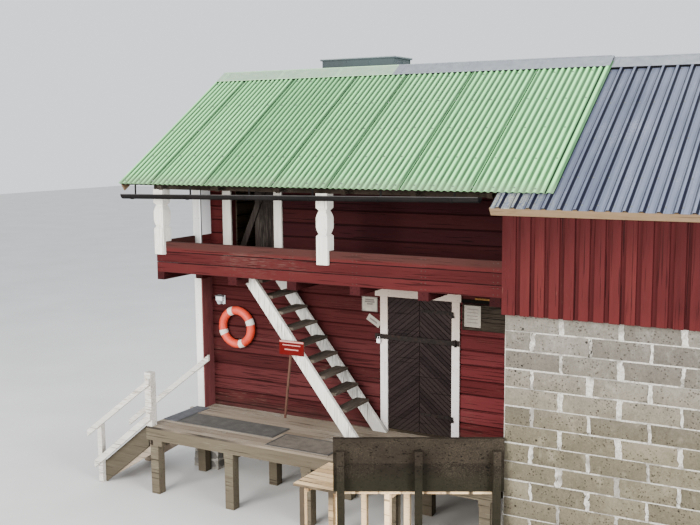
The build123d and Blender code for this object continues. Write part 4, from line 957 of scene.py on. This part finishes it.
# Lifebuoy: a smooth ring with four pale bands
buoy_centre = Vector((0.57, -0.0583, 2.04))
ring_radius, ring_thick = 0.232, 0.058


def ring_part(bm, thick, start, sweep, steps):
    """A stretch of the ring, spun round the middle of the lifebuoy."""
    centre = buoy_centre + Vector((cos(start), 0, sin(start))) * ring_radius
    made = ops.create_circle(bm, segments=20, radius=thick,
                                   matrix=moved(centre) @ turned(-start, 4, "Y"))
    edges = list({e for v in made["verts"] for e in v.link_edges})
    ops.spin(bm, geom=[*made["verts"], *edges], cent=buoy_centre, axis=(0, -1, 0), angle=sweep,
                   steps=steps, use_merge=sweep > 6.28)
    mark(bm, bm.verts, 0.5)


bm = shape()
ring_part(bm, ring_thick - 0.0012, 0.0, 2 * pi, 72)
ops.remove_doubles(bm, verts=bm.verts, dist=0.0002)
buoy = piece("lifebuoy_ring", bm,
             mottled("buoy_orange", 0.12, 0.5, (398, 24, 9), (530, 44, 19), (583, 69, 35), stain=(332, 55, 32),
                     specular=0.4), 60)
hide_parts("lifebuoy")
bm = shape()
for i in range(4):
    part = shape()
    ring_part(part, ring_thick, radians(12 + 90 * i), radians(17), 6)
    ops.recalc_face_normals(part, faces=part.faces)
    join(bm, part)
piece("lifebuoy_bands", bm,
      mottled("buoy_bands", 0.05, 0.6, (500, 470, 420), (700, 670, 610), stain=(550, 400, 330)), 60)

# Sign on the stick: red board with generic pale bars
board_piece("sign_face", mottled("sign_red_paint", 0.07, 0.8, (65, 2, 2), (95, 5, 4), specular=0.04,
                    stain=(78, 11, 10)), [((1.722, -0.7665, 1.93), (2.078, -0.7635, 2.112))], 0.001)
board_piece("sign_bars", mottled("sign_pale_paint", 0.03, 0.5, (311, 136, 115), (427, 205, 175),
                    stain=(500, 180, 150)),
            [((left, -0.7675, foot), (right, -0.765, top)) for left, foot, right, top in (
                (1.727, 2.086, 2.073, 2.108), (1.77, 2.048, 2.03, 2.06), (1.8, 1.992, 2.0, 2.006))], 0.0006)


# Piers of stacked field stones

def field_stones():
    """Grey stones with a little moss."""
    f = Finish("field_stones", 0.95)
    grain = f.cloud(0.012, 5, 0.7)
    patch = f.cloud(0.11, detail=4, shift=4.0)
    colour = f.shades(f.blend((grain, 0.35), (patch, 0.3), (f.own(), 0.35)), (0.26, 0.5, 0.76),
                      ((84, 77, 70), (164, 154, 140), (266, 252, 231)))
    moss = f.ease(f.cloud(0.14, 5, 0.7, 7.0), 0.56, 0.68)
    colour = f.over(moss, colour, (70, 81, 35), 0.45)
    f.relief(grain, 0.004).relief(patch, 0.006)
    return f.done(colour)


bm = shape()
for middle_x in (0.055, 2.3465, 4.638):
    for middle_y in (0.055, 2.865):
        level = 0.0
        while level < wall_foot - 0.02:
            rise = min(between(0.1, 0.17), wall_foot - level)
            if wall_foot - level - rise < 0.06:
                rise = wall_foot - level
            half = 0.218 - 0.04 * (level + rise / 2) / wall_foot
            split_x = middle_x + between(-0.07, 0.07)
            split_y = middle_y + between(-0.07, 0.07)
            for low_x, high_x in ((middle_x - half, split_x - 0.005), (split_x + 0.005, middle_x + half)):
                for low_y, high_y in ((middle_y - half, split_y - 0.005), (split_y + 0.005, middle_y + half)):
                    part = lump((low_x, low_y, level + 0.004), (high_x, high_y, level + rise - 0.004), 2)
                    for _ in range(2):
                        ops.smooth_vert(part, verts=part.verts, factor=0.28, use_axis_x=True,
                                              use_axis_y=True, use_axis_z=True)
                    jitter(part.verts, (0.006, 0.006, 0.003))
                    for vert in part.verts:
                        vert.co.z = max(vert.co.z, 0.001)
                    join(bm, part)
            level += rise
piece("pier_stones", bm, field_stones(), 50)

# Mats: raised rims
mat_top, rim = floor_level + 0.01, 0.022
rims = [(a, b) for x0, x1, y0, y1 in ((0.22, 1.72, -0.96, -0.55), (1.8, 2.69, -1.24, -0.77)) for a, b in (
    ((x0, y0), (x1, y0 + rim)), ((x0, y1 - rim), (x1, y1)), ((x0, y0 + rim), (x0 + rim, y1 - rim)),
    ((x1 - rim, y0 + rim), (x1, y1 - rim)))]
board_piece("mat_rims", mottled("mat_rims", 0.03, 0.8, (30, 29, 28), (65, 62, 58)),
            [((*a, mat_top - 0.002), (*b, mat_top + 0.003)) for a, b in rims], 0.0015)

# Floor, light and camera
f = Finish("pale_floor", 0.9)
floor_paint = f.done(f.shades(f.cloud(1.5, 3), (0.3, 0.7), ((600, 590, 570), (660, 650, 630))))
bm = shape()
ops.create_grid(bm, x_segments=1, y_segments=1, size=60.0, matrix=moved((4.0, 0.0, -0.001)))
floor = put_mesh("studio_floor", bm, floor_paint)

world = bpy.data.worlds.new("studio_sky")
bpy.context.scene.world = world
world.use_nodes = True
sky = world.node_tree.nodes["Background"].inputs
sky["Color"].default_value = (0.86, 0.9, 0.96, 1.0)
sky["Strength"].default_value = 1.45

for name, place, target, size, watts, colour in (
        ("low_front_sky", (-1.0, -17.0, 6.5), (3.5, 0.0, 1.8), 9.0, 6000.0, (1.0, 0.98, 0.95)),
        ("sky_right", (17.0, -7.0, 6.0), (3.0, 0.0, 2.8), 6.0, 3800.0, (0.97, 0.98, 1.0)),
        ("sky_over_rear", (5.0, 10.0, 11.0), (4.0, 1.0, 3.0), 9.0, 1500.0, (0.93, 0.96, 1.0))):
    light = bpy.data.lights.new(name, "AREA")
    light.shape, light.size, light.energy, light.color = "SQUARE", size, watts, colour
    made = put(name, light)
    made.location = place
    made.rotation_euler = (Vector(target) - Vector(place)).to_track_quat("-Z", "Y").to_euler()

# Sensor width in millimetres, picture width and focal length in pixels
sensor, picture_wide, focal = 36.0, 700.0, 981.9
view = bpy.data.cameras.new("photo_camera")
view.sensor_fit = "HORIZONTAL"
view.sensor_width = sensor
view.lens = sensor * focal / picture_wide
view.clip_end = 200.0
camera = put("photo_camera", view)
turn_left, look_down, roll = (radians(angle) for angle in (29.18, 7.433, -0.453))
level_right = Vector((cos(turn_left), sin(turn_left), 0.0))
forward = Vector((-sin(turn_left) * cos(look_down), cos(turn_left) * cos(look_down),
                  -sin(look_down)))
level_up = level_right.cross(forward)
right = cos(roll) * level_right + sin(roll) * level_up
up = cos(roll) * level_up - sin(roll) * level_right
camera.matrix_world = Matrix((right, up, -forward)).transposed().to_4x4()
camera.location = (8.344, -10.803, 4.636)
bpy.context.scene.camera = camera
